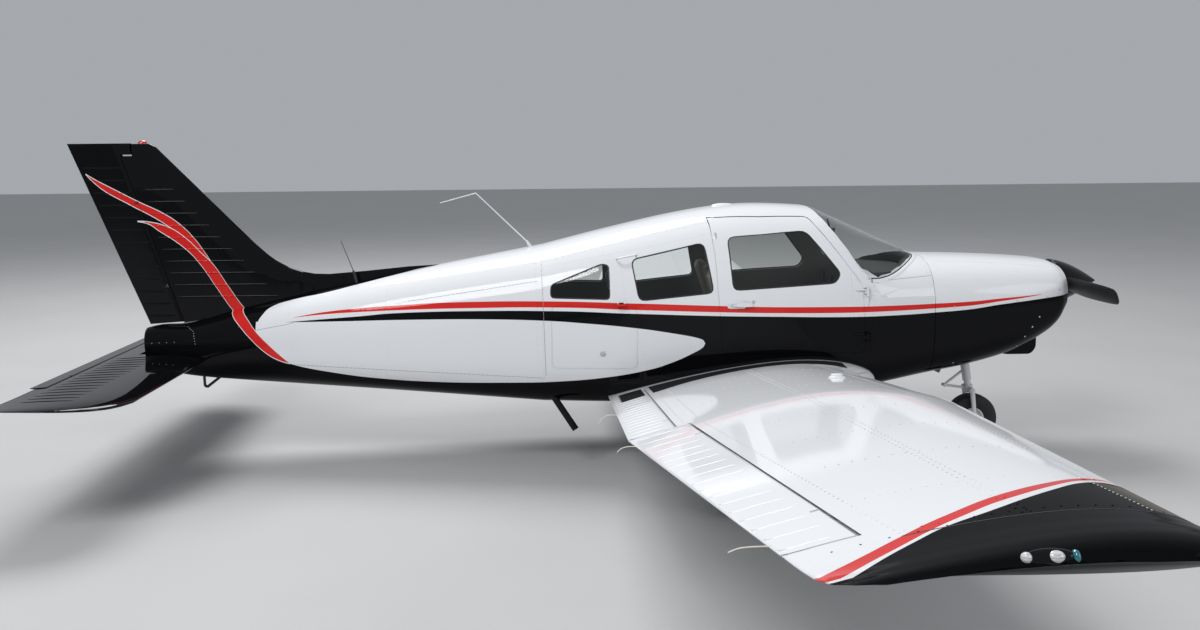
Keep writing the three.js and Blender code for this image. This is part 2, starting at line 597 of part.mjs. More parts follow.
// Shares of the chord, closer together towards both edges
const CHORD_STEPS = Array.from({ length: WING.points },
  (_, k) => (1 - Math.cos((Math.PI * k) / (WING.points - 1))) / 2);

// Points x and height above the chord line's trailing edge, from the trailing edge over the top and back
function airfoil(lead, trail, { thickness, camber, rise, baseZ, shares = [1, 1] }) {
  const chord = lead - trail;
  const at = (c, side) => {
    const shape = 0.2969 * Math.sqrt(c) - 0.126 * c - 0.3516 * c ** 2 + 0.2843 * c ** 3 - 0.1036 * c ** 4;
    const line = c < 0.4 ? (camber / 0.16) * (0.8 * c - c * c) : (camber / 0.36) * (0.2 + 0.8 * c - c * c);
    const half = shares[side > 0 ? 0 : 1] * Math.max(5 * thickness * shape, 0.0015);
    return [lead - c * chord, baseZ + rise * (1 - c) + chord * (line + side * half)];
  };
  return [...CHORD_STEPS.toReversed().map((c) => at(c, 1)), ...CHORD_STEPS.slice(1).map((c) => at(c, -1))];
}

function wingEdges(y) {
  const t = Math.min(Math.max(0, (y - WING.kink) / (WING.tip - WING.kink)), 1);
  return {
    lead: WING.leadX + t * (WING.leadTipX - WING.leadX),
    trail: WING.trailX + t * (WING.trailTipX - WING.trailX),
    rise: WING.noseRise + t * (WING.noseRiseTip - WING.noseRise),
    baseZ: WING.rootZ + WING.dihedral * y,
  };
}

const wingShape = (y) => ({ ...wingEdges(y), thickness: WING.thickness, camber: WING.camber });

function wingRing(y, ahead) {
  const shape = wingShape(y);
  return airfoil(shape.lead + ahead, shape.trail, shape).map(([x, z]) => [x, y, z]);
}

// The middle height and half thickness of the wing at a place
function wingAt(x, y) {
  const ring = airfoil(wingEdges(y).lead, wingEdges(y).trail, wingShape(y));
  const heights = [ring.slice(0, WING.points), ring.slice(WING.points - 1).toReversed()].map((side) => {
    const k = Math.min(Math.max(side.findIndex((point) => point[0] > x), 1), side.length - 1);
    const [[x0, z0], [x1, z1]] = [side[k - 1], side[k]];
    return z0 + ((x - x0) / (x1 - x0)) * (z1 - z0);
  });
  return { z: (heights[0] + heights[1]) / 2, half: (heights[0] - heights[1]) / 2 };
}

// The hinge point and nose radius of a flap or aileron at y
function hingeOf(surface, y) {
  const t = (y - surface.inner) / (surface.outer - surface.inner);
  const x = wingEdges(y).trail + surface.chord + t * (surface.chordTip - surface.chord);
  const { z, half } = wingAt(x, y);
  return { x, z, radius: half };
}

// An arc about a hinge, from one angle to another in degrees from straight ahead
const arc = (radius, from, to, steps) => Array.from({ length: steps + 1 }, (_, k) => {
  const angle = THREE.MathUtils.degToRad(from + ((to - from) * k) / steps);
  return [radius * Math.cos(angle), radius * Math.sin(angle)];
});
// A cove's arc: its flats stay the gap away from a nose of the radius, and its lips clear the turned surface
const LIP_FREE_ANGLE = 12;
const lipAngle = (travel) => 90 - Math.max(0, travel - LIP_FREE_ANGLE);
function coveArc(radius, up, down, steps) {
  const [from, to] = [lipAngle(up), -lipAngle(down)];
  const halfStep = THREE.MathUtils.degToRad((from - to) / steps / 2);
  return arc((radius + RUN_GAP) / Math.cos(halfStep), from, to, steps);
}

function surfaceRing(surface, y) {
  const { x, z, radius } = hingeOf(surface, y);
  const { trail, baseZ } = wingEdges(y);
  const nose = arc(radius, 90, -90, ARC_STEPS).map(([dx, dz]) => [x + dx, y, z + dz]);
  return [...nose, [trail, y, baseZ - EDGE_HALF], [trail, y, baseZ + EDGE_HALF]];
}

function coveRing(surface, y) {
  const { x, z, radius } = hingeOf(surface, y);
  const edge = coveArc(radius, surface.up, surface.down, ARC_STEPS).map(([dx, dz]) => [x + dx, y, z + dz]);
  const [top, bottom] = [edge[0][0], edge.at(-1)[0]];
  const rear = x - COVE.back;
  return [...edge, [bottom, y, z - COVE.deep], [rear, y, z - COVE.deep], [rear, y, z + COVE.deep],
    [top, y, z + COVE.deep]];
}

// A block about a hinge point: limits ahead of it, along the hinge line and across
function hingeBlock(point, axis, ahead, along, across) {
  const geometry = new THREE.BoxGeometry(ahead[1] - ahead[0], along[1] - along[0], across[1] - across[0]);
  geometry.translate((ahead[0] + ahead[1]) / 2, (along[0] + along[1]) / 2, (across[0] + across[1]) / 2);
  const way = new THREE.Vector3(...axis).normalize();
  const forward = new THREE.Vector3(1, 0, 0).projectOnPlane(way).normalize();
  const side = new THREE.Vector3().crossVectors(forward, way);
  geometry.applyMatrix4(new THREE.Matrix4().makeBasis(forward, way, side));
  return solid(geometry.translate(...point));
}

// A bracket's arm and eye, the slot it needs in the moving surface, and the pin through both
function bracketAt(point, axis, radius) {
  const way = new THREE.Vector3(...axis).normalize();
  const along = (distance) => new THREE.Vector3(...point).addScaledVector(way, distance).toArray();
  const half = BRACKET.thickness / 2;
  const slotHalf = half + BRACKET.slotGap;
  const [disc, pin, armHalf] = [BRACKET.disc, BRACKET.pin, BRACKET.arm].map((share) => share * radius);
  const tube = (reach, size, sides) => bar(along(-reach), along(reach), size, size, sides);
  const arm = hingeBlock(point, axis, [0, radius + RUN_GAP + 12], [-half, half], [-armHalf, armHalf]);
  const slotAhead = [-disc - BRACKET.slotGap, radius * 2];
  return {
    fixed: arm.add(tube(half, disc, 8)).subtract(tube(half + 1, boreRadius(pin, 16), 16)),
    slot: hingeBlock(point, axis, slotAhead, [-slotHalf, slotHalf], [-radius * 2, radius * 2]),
    pin: tube(slotHalf + 2, pin, 8),
  };
}

function bracketsOf(surface) {
  const ends = [surface.inner, surface.outer].map((y) => {
    const { x, z } = hingeOf(surface, y);
    return new THREE.Vector3(x, y, z);
  });
  const axis = ends[1].clone().sub(ends[0]).toArray();
  return surface.places.map((share) => {
    const point = ends[0].clone().lerp(ends[1], share);
    return bracketAt(point.toArray(), axis, hingeOf(surface, point.y).radius);
  });
}

function makeWing() {
  const coveEnd = (FLAP.outer + AILERON.inner) / 2;
  const flapCove = loft([FLAP.inner - END_GAP, coveEnd + 0.1].map((y) => coveRing(FLAP, y)), 0, 2);
  const aileronCove = loft([coveEnd, AILERON.outer + END_GAP].map((y) => coveRing(AILERON, y)), 0, 2);
  const { z, half } = wingAt(JACK_PAD.x, JACK_PAD.y);
  const pad = bar([JACK_PAD.x, JACK_PAD.y, z], [JACK_PAD.x, JACK_PAD.y, z - half - JACK_PAD.drop],
    JACK_PAD.radius, JACK_PAD.radius, 12);
  const brackets = [FLAP, AILERON].flatMap(bracketsOf);
  const outside = loft(WING_STATIONS.map(([y, ahead]) => wingRing(y, ahead)), 0, 2);
  const wing = cutBy(outside.add(pad), [flapCove, aileronCove])
    .add(joined(brackets.map((bracket) => bracket.fixed)));
  const besideCabin = (body) => mainPiece(body.subtract(cabinHull(-SEAT_GAP)));
  addNode('wing_left', besideCabin(wing), WHITE);
  addNode('wing_right', besideCabin(mirrored(wing)), WHITE);

  const tip = loft(TIP_STATIONS.map(([y, lead, trail, above, below, lift]) => {
    const { baseZ, ...shape } = wingShape(y);
    const settings = { ...shape, baseZ: baseZ + lift, shares: [above, below] };
    return airfoil(lead, trail, settings).map(([x, z]) => [x, y, z]);
  }), 0, 2);
  addPair('wing_tip', tip, BLACK);
  for (const [name, surface] of [['flap', FLAP], ['aileron', AILERON]]) {
    const brace = bracketsOf(surface);
    const body = loft([surface.inner, surface.outer].map((y) => surfaceRing(surface, y)), 0, 2);
    addPair(name, cutBy(body, brace.map((bracket) => bracket.slot))
      .add(joined(brace.map((bracket) => bracket.pin))), WHITE);
  }
  return outside;
}

const wingOutside = makeWing();

// Tail

const TAIL_STEPS = 7;
const tailHull = (inset, x0 = TAIL_END_X, x1 = CABIN_REAR_X - SEAT_GAP) =>
  hull(TAIL_STATIONS, x0, x1, TAIL_STEPS, inset);

function makeTailCone() {
  const inside = tailHull(CONE_WALL, TAIL_END_X + CONE_WALL, CABIN_REAR_X - CONE_WALL);
  const { pivotX, pivotZ, tube, root } = STABILATOR;
  const bearing = boreRadius(tube, 16);
  const hole = bar([pivotX, -2 * root, pivotZ], [pivotX, 2 * root, pivotZ], bearing, bearing, 16);
  addNode('tail_cone', mainPiece(tailHull(0).subtract(inside).subtract(hole)), BLACK);
}

// A value at a height, which changes evenly along the rudder's hinge line
const alongRudder = (z, low, high) =>
  low + ((z - RUDDER.low[1]) / (RUDDER.high[1] - RUDDER.low[1])) * (high - low);
const rudderHingeX = (z) => alongRudder(z, RUDDER.low[0], RUDDER.high[0]);
const rudderAxis = [RUDDER.high[0] - RUDDER.low[0], 0, RUDDER.high[1] - RUDDER.low[1]];
const rudderNose = (z) => alongRudder(z, RUDDER.noseLow, RUDDER.noseHigh);

function makeFin() {
  const ring = ([z, lead]) => {
    const [lowZ, topZ] = [FIN_LEAD[0][0], FIN_LEAD.at(-1)[0]];
    const half = FIN.halfRoot + ((z - lowZ) / (topZ - lowZ)) * (FIN.halfTop - FIN.halfRoot);
    const rear = rudderHingeX(z) - FIN.web;
    const side = FIN_SECTION.map(([along, wide]) => [lead + along * (rear - lead), half * wide]);
    return [...side.map(([x, y]) => [x, -y, z]), ...side.slice(1).toReversed().map(([x, y]) => [x, y, z])];
  };
  const blade = loft(FIN_LEAD.map(ring), 0, 1);
  const dorsal = loft(DORSAL_TOP.map(([x, top]) => {
    const low = stationAt(TAIL_STATIONS, x)[2] - FIN.dorsalFoot;
    return [[x, -FIN.dorsalHalf, low], [x, FIN.dorsalHalf, low], [x, FIN.dorsalRidge, top],
      [x, -FIN.dorsalRidge, top]];
  }), 1, 2);
  const cove = loft([880, 2300].map((z) => {
    const hingeX = rudderHingeX(z);
    const edge = coveArc(rudderNose(z), RUDDER.travel, RUDDER.travel, ARC_STEPS)
      .map(([dx, dy]) => [hingeX + dx, dy, z]);
    const rear = hingeX - COVE.back;
    return [...edge, [edge.at(-1)[0], -COVE.deep, z], [rear, -COVE.deep, z], [rear, COVE.deep, z],
      [edge[0][0], COVE.deep, z]];
  }), 0, 1);
  const hornRoom = box(-3500, -80, RUDDER.hornZ - RUDDER.hornGap, FIN.topRear, 80, 2400);
  const brackets = RUDDER.heights.map((z) => bracketAt([rudderHingeX(z), 0, z], rudderAxis, rudderNose(z)));
  const fin = cutBy(blade.add(dorsal), [cove, hornRoom, tailHull(-SEAT_GAP)])
    .add(joined(brackets.map((bracket) => bracket.fixed)));
  addNode('fin', mainPiece(fin), BLACK);

  const section = (t) => {
    const z = RUDDER.low[1] + t * (RUDDER.topZ - RUDDER.low[1]);
    const [trailX, trailZ] = RUDDER.trailLow.map((low, k) => low + t * (RUDDER.trailHigh[k] - low));
    const nose = arc(rudderNose(z), 90, -90, ARC_STEPS).map(([dx, dy]) => [rudderHingeX(z) + dx, dy, z]);
    return [...nose, [trailX, -2, trailZ], [trailX, 2, trailZ]];
  };
  const horn = loft([RUDDER.hornZ, RUDDER.topZ].map((z) => {
    const half = rudderNose(z) - 1;
    const front = RUDDER.hornX - half;
    const bow = arc(half, 90, -90, ARC_STEPS).map(([dx, dy]) => [front + dx, dy, z]);
    return [...bow, [rudderHingeX(z) - 20, -half, z], [rudderHingeX(z) - 20, half, z]];
  }), 0, 1);
  const body = loft([section(0), section(1)], 0, 1).add(horn);
  const rudder = cutBy(body, brackets.map((bracket) => bracket.slot))
    .add(joined(brackets.map((bracket) => bracket.pin)));
  addNode('rudder', mainPiece(rudder), BLACK);
}

function makeStabilator() {
  const { pivotX, pivotZ, tilt, leadX, trailX, thickness, root, bridgeX, tube } = STABILATOR;
  const heightAt = (x) => pivotZ + (pivotX - x) * tilt;
  const ring = (side) => ([y, lead, above, below, lift]) => {
    const settings = {
      thickness, camber: 0, rise: heightAt(lead) - heightAt(trailX), baseZ: heightAt(trailX) + lift,
      shares: [above, below],
    };
    return airfoil(lead, trailX, settings).map(([x, z]) => [x, side * y, z]);
  };
  const rings = [...STABILATOR_STATIONS.toReversed().map(ring(-1)), ...STABILATOR_STATIONS.map(ring(1))];
  const hingeZ = heightAt(TAB.hingeX);
  const trailZ = heightAt(TAB.trailX);
  const tabRing = (y) => [
    ...arc(TAB.nose, 90, -90, TAB_STEPS).map(([dx, dz]) => [TAB.hingeX + dx, y, hingeZ + dz]),
    [TAB.trailX, y, trailZ - EDGE_HALF], [TAB.trailX, y, trailZ + EDGE_HALF],
  ];
  const cove = loft([-TAB.half - RUN_GAP, TAB.half + RUN_GAP].map((y) => {
    const edge = coveArc(TAB.nose, TAB.travel, TAB.travel, TAB_STEPS)
      .map(([dx, dz]) => [TAB.hingeX + dx, y, hingeZ + dz]);
    const rear = TAB.hingeX - COVE.back;
    return [...edge, [edge.at(-1)[0], y, hingeZ - COVE.deep], [rear, y, hingeZ - COVE.deep],
      [rear, y, hingeZ + COVE.deep], [edge[0][0], y, hingeZ + COVE.deep]];
  }), 0, 2);
  const brackets = TAB.places.map((y) => bracketAt([TAB.hingeX, y, hingeZ], [0, 1, 0], TAB.nose));
  const rearHalf = root - ROOT_TAPER * (leadX - bridgeX);
  const coneRoom = loft([500, 950].map((z) => [
    [bridgeX, -rearHalf, z], [leadX, -root, z], [leadX + 200, -root, z],
    [leadX + 200, root, z], [leadX, root, z], [bridgeX, rearHalf, z],
  ]), 0, 1);
  const stabilator = loft(rings, 0, 2).subtract(cove).subtract(coneRoom)
    .add(bar([pivotX, -root - 30, pivotZ], [pivotX, root + 30, pivotZ], tube, tube, 16))
    .add(joined(brackets.map((bracket) => bracket.fixed)));
  addNode('stabilator', mainPiece(stabilator), BLACK);
  const tabBody = loft([tabRing(-TAB.half), tabRing(TAB.half)], 0, 2);
  const tab = cutBy(tabBody, brackets.map((bracket) => bracket.slot))
    .add(joined(brackets.map((bracket) => bracket.pin)));
  addNode('anti_servo_tab', tab, BLACK);
}

makeTailCone();
makeFin();
makeStabilator();

// Landing gear

const WHEEL_SIDES = 24;

// A tyre and a rim about Y, from half profiles of radius and width
function makeWheel(name, at, { radius, half, rim }, axle) {
  const tread = [[rim + 2, 0.66], [radius * 0.78, 1], [radius * 0.94, 0.86], [radius, 0.5]];
  const dish = [[axle + 0.5, 0.66], [axle + 24, 0.66], [axle + 28, 0.3], [rim - 12, 0.3], [rim + 1.6, 0.62]];
  const turned = (side) => {
    const ring = [...side, ...side.toReversed().map(([r, w]) => [r, -w])];
    const closed = [...ring, ring[0]].map(([r, w]) => new THREE.Vector2(r, w * half));
    return solid(new THREE.LatheGeometry(closed, WHEEL_SIDES)).translate(...at);
  };
  addNode(`${name}_tyre`, turned(tread), TYRE);
  addNode(`${name}_rim`, turned(dish), METAL);
}

function makeMainGear() {
  const legY = MAIN_WHEEL.y - MAIN_LEG.inset;
  const { x, radius, y, half } = MAIN_WHEEL;
  const link = [[x - 30, 0, 425], [x - 118, 0, 330], [x - 22, 0, 240]];
  const leg = joined([
    bar([x, legY, MAIN_LEG.topZ], [x, legY, MAIN_LEG.collarZ], MAIN_LEG.housing),
    bar([x, legY, MAIN_LEG.collarZ + 5], [x, legY, radius - 26], MAIN_LEG.piston),
    bar([x, legY - 30, radius], [x, y + half * 0.8, radius], MAIN_LEG.axle),
    bar([x, legY - 32, radius], [x, legY + 40, radius], MAIN_LEG.axle + 14),
    bar([link[0][0], legY, link[0][2]], [link[1][0], legY, link[1][2]], 11, 9, 8),
    bar([link[1][0], legY, link[1][2]], [link[2][0], legY, link[2][2]], 9, 11, 8),
    bar([link[1][0], legY - 18, link[1][2]], [link[1][0], legY + 18, link[1][2]], 11, 11, 8),
  ]).subtract(wingOutside.translate(0, 0, -SEAT_GAP));
  addPair('main_gear', mainPiece(leg), STEEL);
  makeWheel('main_left', [x, y, radius], MAIN_WHEEL, MAIN_LEG.axle);
  makeWheel('main_right', [x, -y, radius], MAIN_WHEEL, MAIN_LEG.axle);
}

function makeNoseGear() {
  const [[topX, topZ], [lowX, lowZ]] = [NOSE_LEG.top, NOSE_LEG.bottom];
  const lean = (lowX - topX) / (topZ - lowZ);
  const onAxis = (z) => [topX + (topZ - z) * lean, 0, z];
  const { x, radius, half } = NOSE_WHEEL;
  const legY = half + 20;
  const crownZ = radius * 2 + 32;
  const side = (sign) => joined([
    bar([lowX + 4, sign * legY, crownZ + 8], [x, sign * legY, radius], 17, 15, 10),
    bar([x, sign * (legY - 12), radius], [x, sign * (legY + 14), radius], 24, 24, 10),
  ]);
  const fork = joined([
    bar(onAxis(topZ - 15), onAxis(lowZ + 40), NOSE_LEG.tube), bar(onAxis(lowZ + 60), onAxis(crownZ), 24),
    bar([lowX + 4, -legY - 8, crownZ + 6], [lowX + 4, legY + 8, crownZ + 6], 20, 20, 10),
    bar(onAxis(crownZ - 14), onAxis(crownZ + 34), 34),
    side(-1), side(1),
    bar([x, -legY - 10, radius], [x, legY + 10, radius], NOSE_LEG.axle, NOSE_LEG.axle, 16),
    bar(onAxis(540), [2540, 0, 420], 10, 9, 8), bar([2540, 0, 420], onAxis(crownZ + 12), 9, 10, 8),
    bar([2540, -22, 420], [2540, 22, 420], 12, 12, 8),
  ]);
  addNode('nose_fork', fork, METAL);
  const [z0, z1] = NOSE_LEG.trunnionZ;
  const boreSize = boreRadius(NOSE_LEG.tube, 28);
  const bore = bar(onAxis(1000), onAxis(600), boreSize, boreSize, 28);
  const mount = box(FIREWALL_X + PLATE_DEPTH, -48, z0, onAxis(z0)[0] + 46, 48, z1);
  addNode('nose_mount', mount.subtract(bore), STEEL);
  makeWheel('nose', [x, 0, radius], NOSE_WHEEL, NOSE_LEG.axle);
  return bar(onAxis(760), onAxis(430), NOSE_LEG.tube + 16);
}

makeMainGear();
const noseLegRoom = makeNoseGear();

// Nose and propeller

const COWL_STEPS = 7;

function makeNose() {
  const rim = (x, inset) => ringAt(DECK_STATIONS, x, inset);
  const plate = loft([rim(FIREWALL_X, 3), rim(FIREWALL_X, 3)].map((ring, k) =>
    ring.map(([, y, z]) => [FIREWALL_X + SEAT_GAP + k * (PLATE_DEPTH - 2 * SEAT_GAP), y, z])), 1, 2);
  addNode('firewall', plate, STEEL);
  const body = hull(COWL_STATIONS, COWL_X0, NOSE_X, COWL_STEPS);
  const skin = body.subtract(hull(COWL_STATIONS, COWL_X0 - 1, NOSE_X - COWL_WALL, COWL_STEPS, COWL_WALL));
  const inlets = [-1, 1].map((side) => {
    const corners = [[-1, -1], [1, -1], [1, 1], [-1, 1]].map(([u, v]) => [u * INLET.half, v * INLET.tall]);
    const shape = roundedShape(corners, INLET.radius);
    const geometry = new THREE.ExtrudeGeometry(shape, { depth: 300, bevelEnabled: false, curveSegments: 3 });
    geometry.rotateX(Math.PI / 2).rotateZ(Math.PI / 2);
    return solid(geometry.translate(INLET.x, side * INLET.y, INLET.z));
  });
  const shaftHole = bar([ENGINE.x1, 0, PROP.z], [AHEAD_X, 0, PROP.z], PROP.shaft + 45);
  const exit = box(COWL_X0 - 2, -EXIT.half, EXIT.z0, EXIT.x, EXIT.half, EXIT.z1);
  const scoop = box(SCOOP.x0, -SCOOP.half, SCOOP.z0, SCOOP.x1, SCOOP.half, SCOOP.z1)
    .intersect(sidePrism({ corners: SCOOP_SIDE, radius: 26 }, -SCOOP.half, SCOOP.half));
  const mouthHalf = SCOOP.half - SCOOP.wall;
  const mouth = box(SCOOP.mouthX, -mouthHalf, SCOOP.z0 + SCOOP.wall, AHEAD_X, mouthHalf, SCOOP.mouthTop);
  const hollow = body.subtract(skin);
  const whole = skin.add(scoop.subtract(hollow)).subtract(mouth.subtract(hollow));
  const cut = cutBy(whole, [...inlets, shaftHole, exit, noseLegRoom]);
  const upper = box(0, -BESIDE_Y, COWL_SPLIT_Z + SEAT_GAP / 2, AHEAD_X, BESIDE_Y, ROOF_Z);
  const lower = box(0, -BESIDE_Y, 0, AHEAD_X, BESIDE_Y, COWL_SPLIT_Z - SEAT_GAP / 2);
  addNode('cowl_upper', mainPiece(cut.intersect(upper)), WHITE);
  addNode('cowl_lower', mainPiece(cut.intersect(lower)), BLACK);
}

function makeEngine() {
  const { x0, x1, half, z0, z1 } = ENGINE;
  const mounts = ENGINE_MOUNTS.map(([y, z]) =>
    bar([FIREWALL_X + PLATE_DEPTH, y, z], [x0 + 10, y, z], MOUNT_RADIUS, MOUNT_RADIUS, 8));
  const shaft = bar([x1 - 10, 0, PROP.z], [PROP.base + PROP.plate, 0, PROP.z], PROP.shaft);
  addNode('engine_block', joined([box(x0, -half, z0, x1, half, z1), shaft, ...mounts]), STEEL);
  const tube = (from, to, radius) => bar(from, to, radius, radius, 12);
  const { radius, down, bend, joint, end, bore, boreFrom, boreTo } = EXHAUST;
  const pipe = tube(down, bend, radius).add(tube(joint, end, radius)).subtract(tube(boreFrom, boreTo, bore));
  addNode('exhaust_pipe', pipe, STEEL);
}

function makePropeller() {
  const blade = (sign) => loft(BLADE.map(([r, chord, thick, angle]) => {
    const turn = THREE.MathUtils.degToRad(angle) * sign;
    return BLADE_SECTION.map(([u, v]) => {
      const [a, b] = [u * chord, v * thick];
      return [PROP.base + PROP.plane + a * Math.sin(turn) * sign + b * Math.cos(turn), sign * r,
        PROP.z + (a * Math.cos(turn) - b * Math.sin(turn) * sign) * sign];
    });
  }), 0, 2);
  const hubX = [PROP.base + PROP.plate + SEAT_GAP, PROP.base + PROP.hubDepth];
  const hub = bar([hubX[0], 0, PROP.z], [hubX[1], 0, PROP.z], PROP.hub);
  addNode('propeller', joined([hub, blade(1), blade(-1)]), BLACK);
  const length = PROP.tip - PROP.base;
  const shell = (inset) => {
    const curve = Array.from({ length: 7 }, (_, k) => {
      const t = k / 6;
      return new THREE.Vector2((PROP.spinner - inset) * (1 - t ** 1.6), t * (length - inset));
    });
    const geometry = new THREE.LatheGeometry([new THREE.Vector2(0, 0), ...curve], 20);
    return solid(geometry.rotateZ(-Math.PI / 2).translate(PROP.base, 0, PROP.z));
  };
  const base = box(PROP.base - 1, -300, 800, PROP.base + PROP.plate, 300, 1500);
  const bladeRoom = box(PROP.base + PROP.plate, -400, PROP.z - 44, PROP.base + 64, 400, PROP.z + 44);
  const flange = bar([PROP.base - 10, 0, PROP.z], [PROP.base + 20, 0, PROP.z], PROP.shaft + RUN_GAP);
  const spinner = cutBy(shell(0).subtract(shell(PROP.shell).subtract(base)), [bladeRoom, flange]);
  addNode('spinner', mainPiece(spinner), BLACK);
}

makeNose();
makeEngine();
makePropeller();

// Cabin fittings

// The left control yoke: its shaft, its bar and its two horns
function yoke() {
  const { x, y, z, half, radius, horn } = YOKE;
  const horns = [-1, 1].map((end) =>
    bar([x, y + end * half, z], [x, y + end * (half + 12), z + horn], 13, 11, 10));
  return joined([
    bar([PANEL.x - SEAT_GAP, y, z], [x, y, z], radius, radius, 12),
    bar([x, y - half, z + 8], [x, y + half, z + 8], 12, 12, 10), ...horns,
  ]);
}

function makeFittings() {
  const behindShield = GLASS_DEPTH + GLASS_THICKNESS + 2 * SEAT_GAP;
  const inside = cabinHull(CABIN_WALL + SEAT_GAP, -5).subtract(aheadOfShield(behindShield))
    .add(deckHull(CABIN_WALL + SEAT_GAP, -5));
  const floor = box(FLOOR.x0, -BESIDE_Y, FLOOR.z0, FLOOR.x1, BESIDE_Y, FLOOR.z1);
  addNode('cabin_floor', inside.intersect(floor), TRIM);
  const panel = box(PANEL.x, -BESIDE_Y, PANEL.z0, PANEL.x + PANEL.depth, BESIDE_Y, PANEL.shelfZ + 4)
    .add(box(PANEL.x - 40, -BESIDE_Y, PANEL.shelfZ, PANEL.shelfX, BESIDE_Y, PANEL.shelfZ + PANEL.shelf));
  addNode('instrument_panel', mainPiece(inside.intersect(panel)), TRIM);
  addPair('yoke', yoke(), TRIM);
  const seat = ({ y, half, x0, x1, cushionZ, backTopX, backTopZ, depth }) => {
    const profile = [[x0, cushionZ[0]], [x1, cushionZ[0]], [x1, cushionZ[1]], [x0 + depth, cushionZ[1] - 20],
      [backTopX + depth * 0.7, backTopZ], [backTopX, backTopZ], [x0 - 20, cushionZ[0] + 40]];
    return sidePrism({ corners: profile, radius: 22 }, y - half, y + half)
      .add(box(x0 + 40, y - half + 50, FLOOR.z1 + SEAT_GAP, x1 - 80, y + half - 50, cushionZ[0] + 20));
  };
  addNode('seat_front_left', seat(FRONT_SEAT), SEAT);
  addNode('seat_front_right', seat({ ...FRONT_SEAT, y: -FRONT_SEAT.y }), SEAT);
  addNode('seat_rear', seat(REAR_SEAT), SEAT);
}

// Small outside pieces, each cut to the skin that it sits on
function makeOutsideFittings() {
  const tailSkin = tailHull(-SEAT_GAP);
  const cabinSkin = cabinHull(-SEAT_GAP);
  for (const [name, rows, skin, material] of [
    ['whip_antenna', WHIP_BARS, tailSkin, WHITE], ['stub_antenna', STUB_BARS, tailSkin, TRIM],
    ['grab_handle', GRIP_BARS, cabinSkin, METAL], ['entry_step', STEP_BARS, cabinSkin, BLACK],
    ['tail_skid', SKID_BARS, tailSkin, STEEL],
  ]) {
    addNode(name, mainPiece(joined(rows.map((row) => bar(...row))).subtract(skin)), material);
  }
  const ball = new THREE.SphereGeometry(1, 12, 6).scale(...BLISTER.size).translate(BLISTER.x, 0, BLISTER.z);
  addNode('roof_antenna', mainPiece(solid(ball).subtract(cabinSkin)), WHITE);
  const beaconFoot = [BEACON.x, 0, FIN_LEAD.at(-1)[0] + SEAT_GAP];
  addNode('beacon', bar(beaconFoot, [BEACON.x, 0, BEACON.top], BEACON.radius, BEACON.topRadius, 16), LAMP);
  const { x, y, top } = PITOT;
  const pitot = loft(PITOT_ROWS.map(([z, chord, wide]) => [
    [x + chord / 2, y, z], [x, y - wide, z], [x - chord / 2, y, z], [x, y + wide, z],
  ]), 0, 1);
  const aboveMast = box(x - 500, y - 500, top, x + 500, y + 500, ROOF_Z);
  addNode('pitot_mast', mainPiece(cutBy(pitot, [wingOutside.translate(0, 0, -SEAT_GAP), aboveMast])), BLACK);
}

makeFittings();
makeOutsideFittings();

export default aircraft;
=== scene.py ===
"""Looks of a four-seat low-wing light aircraft with fixed tricycle gear.

Metres. X points forward, Y to the pilot's left, Z up, and the ground is Z = 0.
"""
import functools
import json
import math

import bmesh
import bpy
import numpy as np
from mathutils import Matrix, Vector
from mathutils.bvhtree import BVHTree

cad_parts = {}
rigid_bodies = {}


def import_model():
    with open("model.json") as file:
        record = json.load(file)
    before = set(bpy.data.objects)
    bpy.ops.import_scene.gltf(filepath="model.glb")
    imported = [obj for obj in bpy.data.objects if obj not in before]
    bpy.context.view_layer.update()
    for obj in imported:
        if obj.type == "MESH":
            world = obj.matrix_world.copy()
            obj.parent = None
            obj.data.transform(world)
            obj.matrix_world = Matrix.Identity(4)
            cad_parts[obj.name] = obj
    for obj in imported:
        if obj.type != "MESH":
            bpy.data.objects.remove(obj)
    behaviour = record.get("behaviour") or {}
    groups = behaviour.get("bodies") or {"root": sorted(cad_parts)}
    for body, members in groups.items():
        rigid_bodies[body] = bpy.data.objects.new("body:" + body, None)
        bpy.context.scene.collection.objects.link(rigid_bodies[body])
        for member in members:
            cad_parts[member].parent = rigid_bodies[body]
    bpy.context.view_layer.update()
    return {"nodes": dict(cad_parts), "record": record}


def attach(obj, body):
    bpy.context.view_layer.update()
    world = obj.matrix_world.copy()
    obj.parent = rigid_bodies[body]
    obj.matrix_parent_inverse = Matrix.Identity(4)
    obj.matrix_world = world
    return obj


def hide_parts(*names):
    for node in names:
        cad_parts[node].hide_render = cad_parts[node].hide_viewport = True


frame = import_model()

# Fuselage sections. Columns: x, bottom, top, half width, waist height, roundness above and below the waist
TAIL_ROWS = [
    (-3.140, 0.690, 0.925, 0.092, 0.830, 2.3, 2.3), (-3.050, 0.632, 0.945, 0.112, 0.825, 2.3, 2.4),
    (-2.850, 0.584, 0.955, 0.148, 0.812, 2.3, 2.5), (-2.500, 0.553, 1.052, 0.215, 0.800, 2.4, 2.7),
    (-1.400, 0.480, 1.285, 0.390, 0.830, 2.5, 3.2), (-0.360, 0.408, 1.478, 0.530, 0.900, 2.7, 3.8),
]
CABIN_ROWS = [
    (-0.360, 0.408, 1.478, 0.530, 0.900, 2.7, 3.8), (0.100, 0.398, 1.590, 0.562, 0.940, 2.8, 4.0),
    (0.600, 0.398, 1.698, 0.580, 0.960, 2.9, 4.2), (1.000, 0.405, 1.750, 0.588, 0.980, 3.0, 4.4),
    (1.400, 0.422, 1.744, 0.586, 0.985, 3.0, 4.4), (1.800, 0.474, 1.700, 0.572, 0.985, 3.0, 4.2),
    (2.285, 0.556, 1.640, 0.507, 0.980, 2.9, 3.6),
]
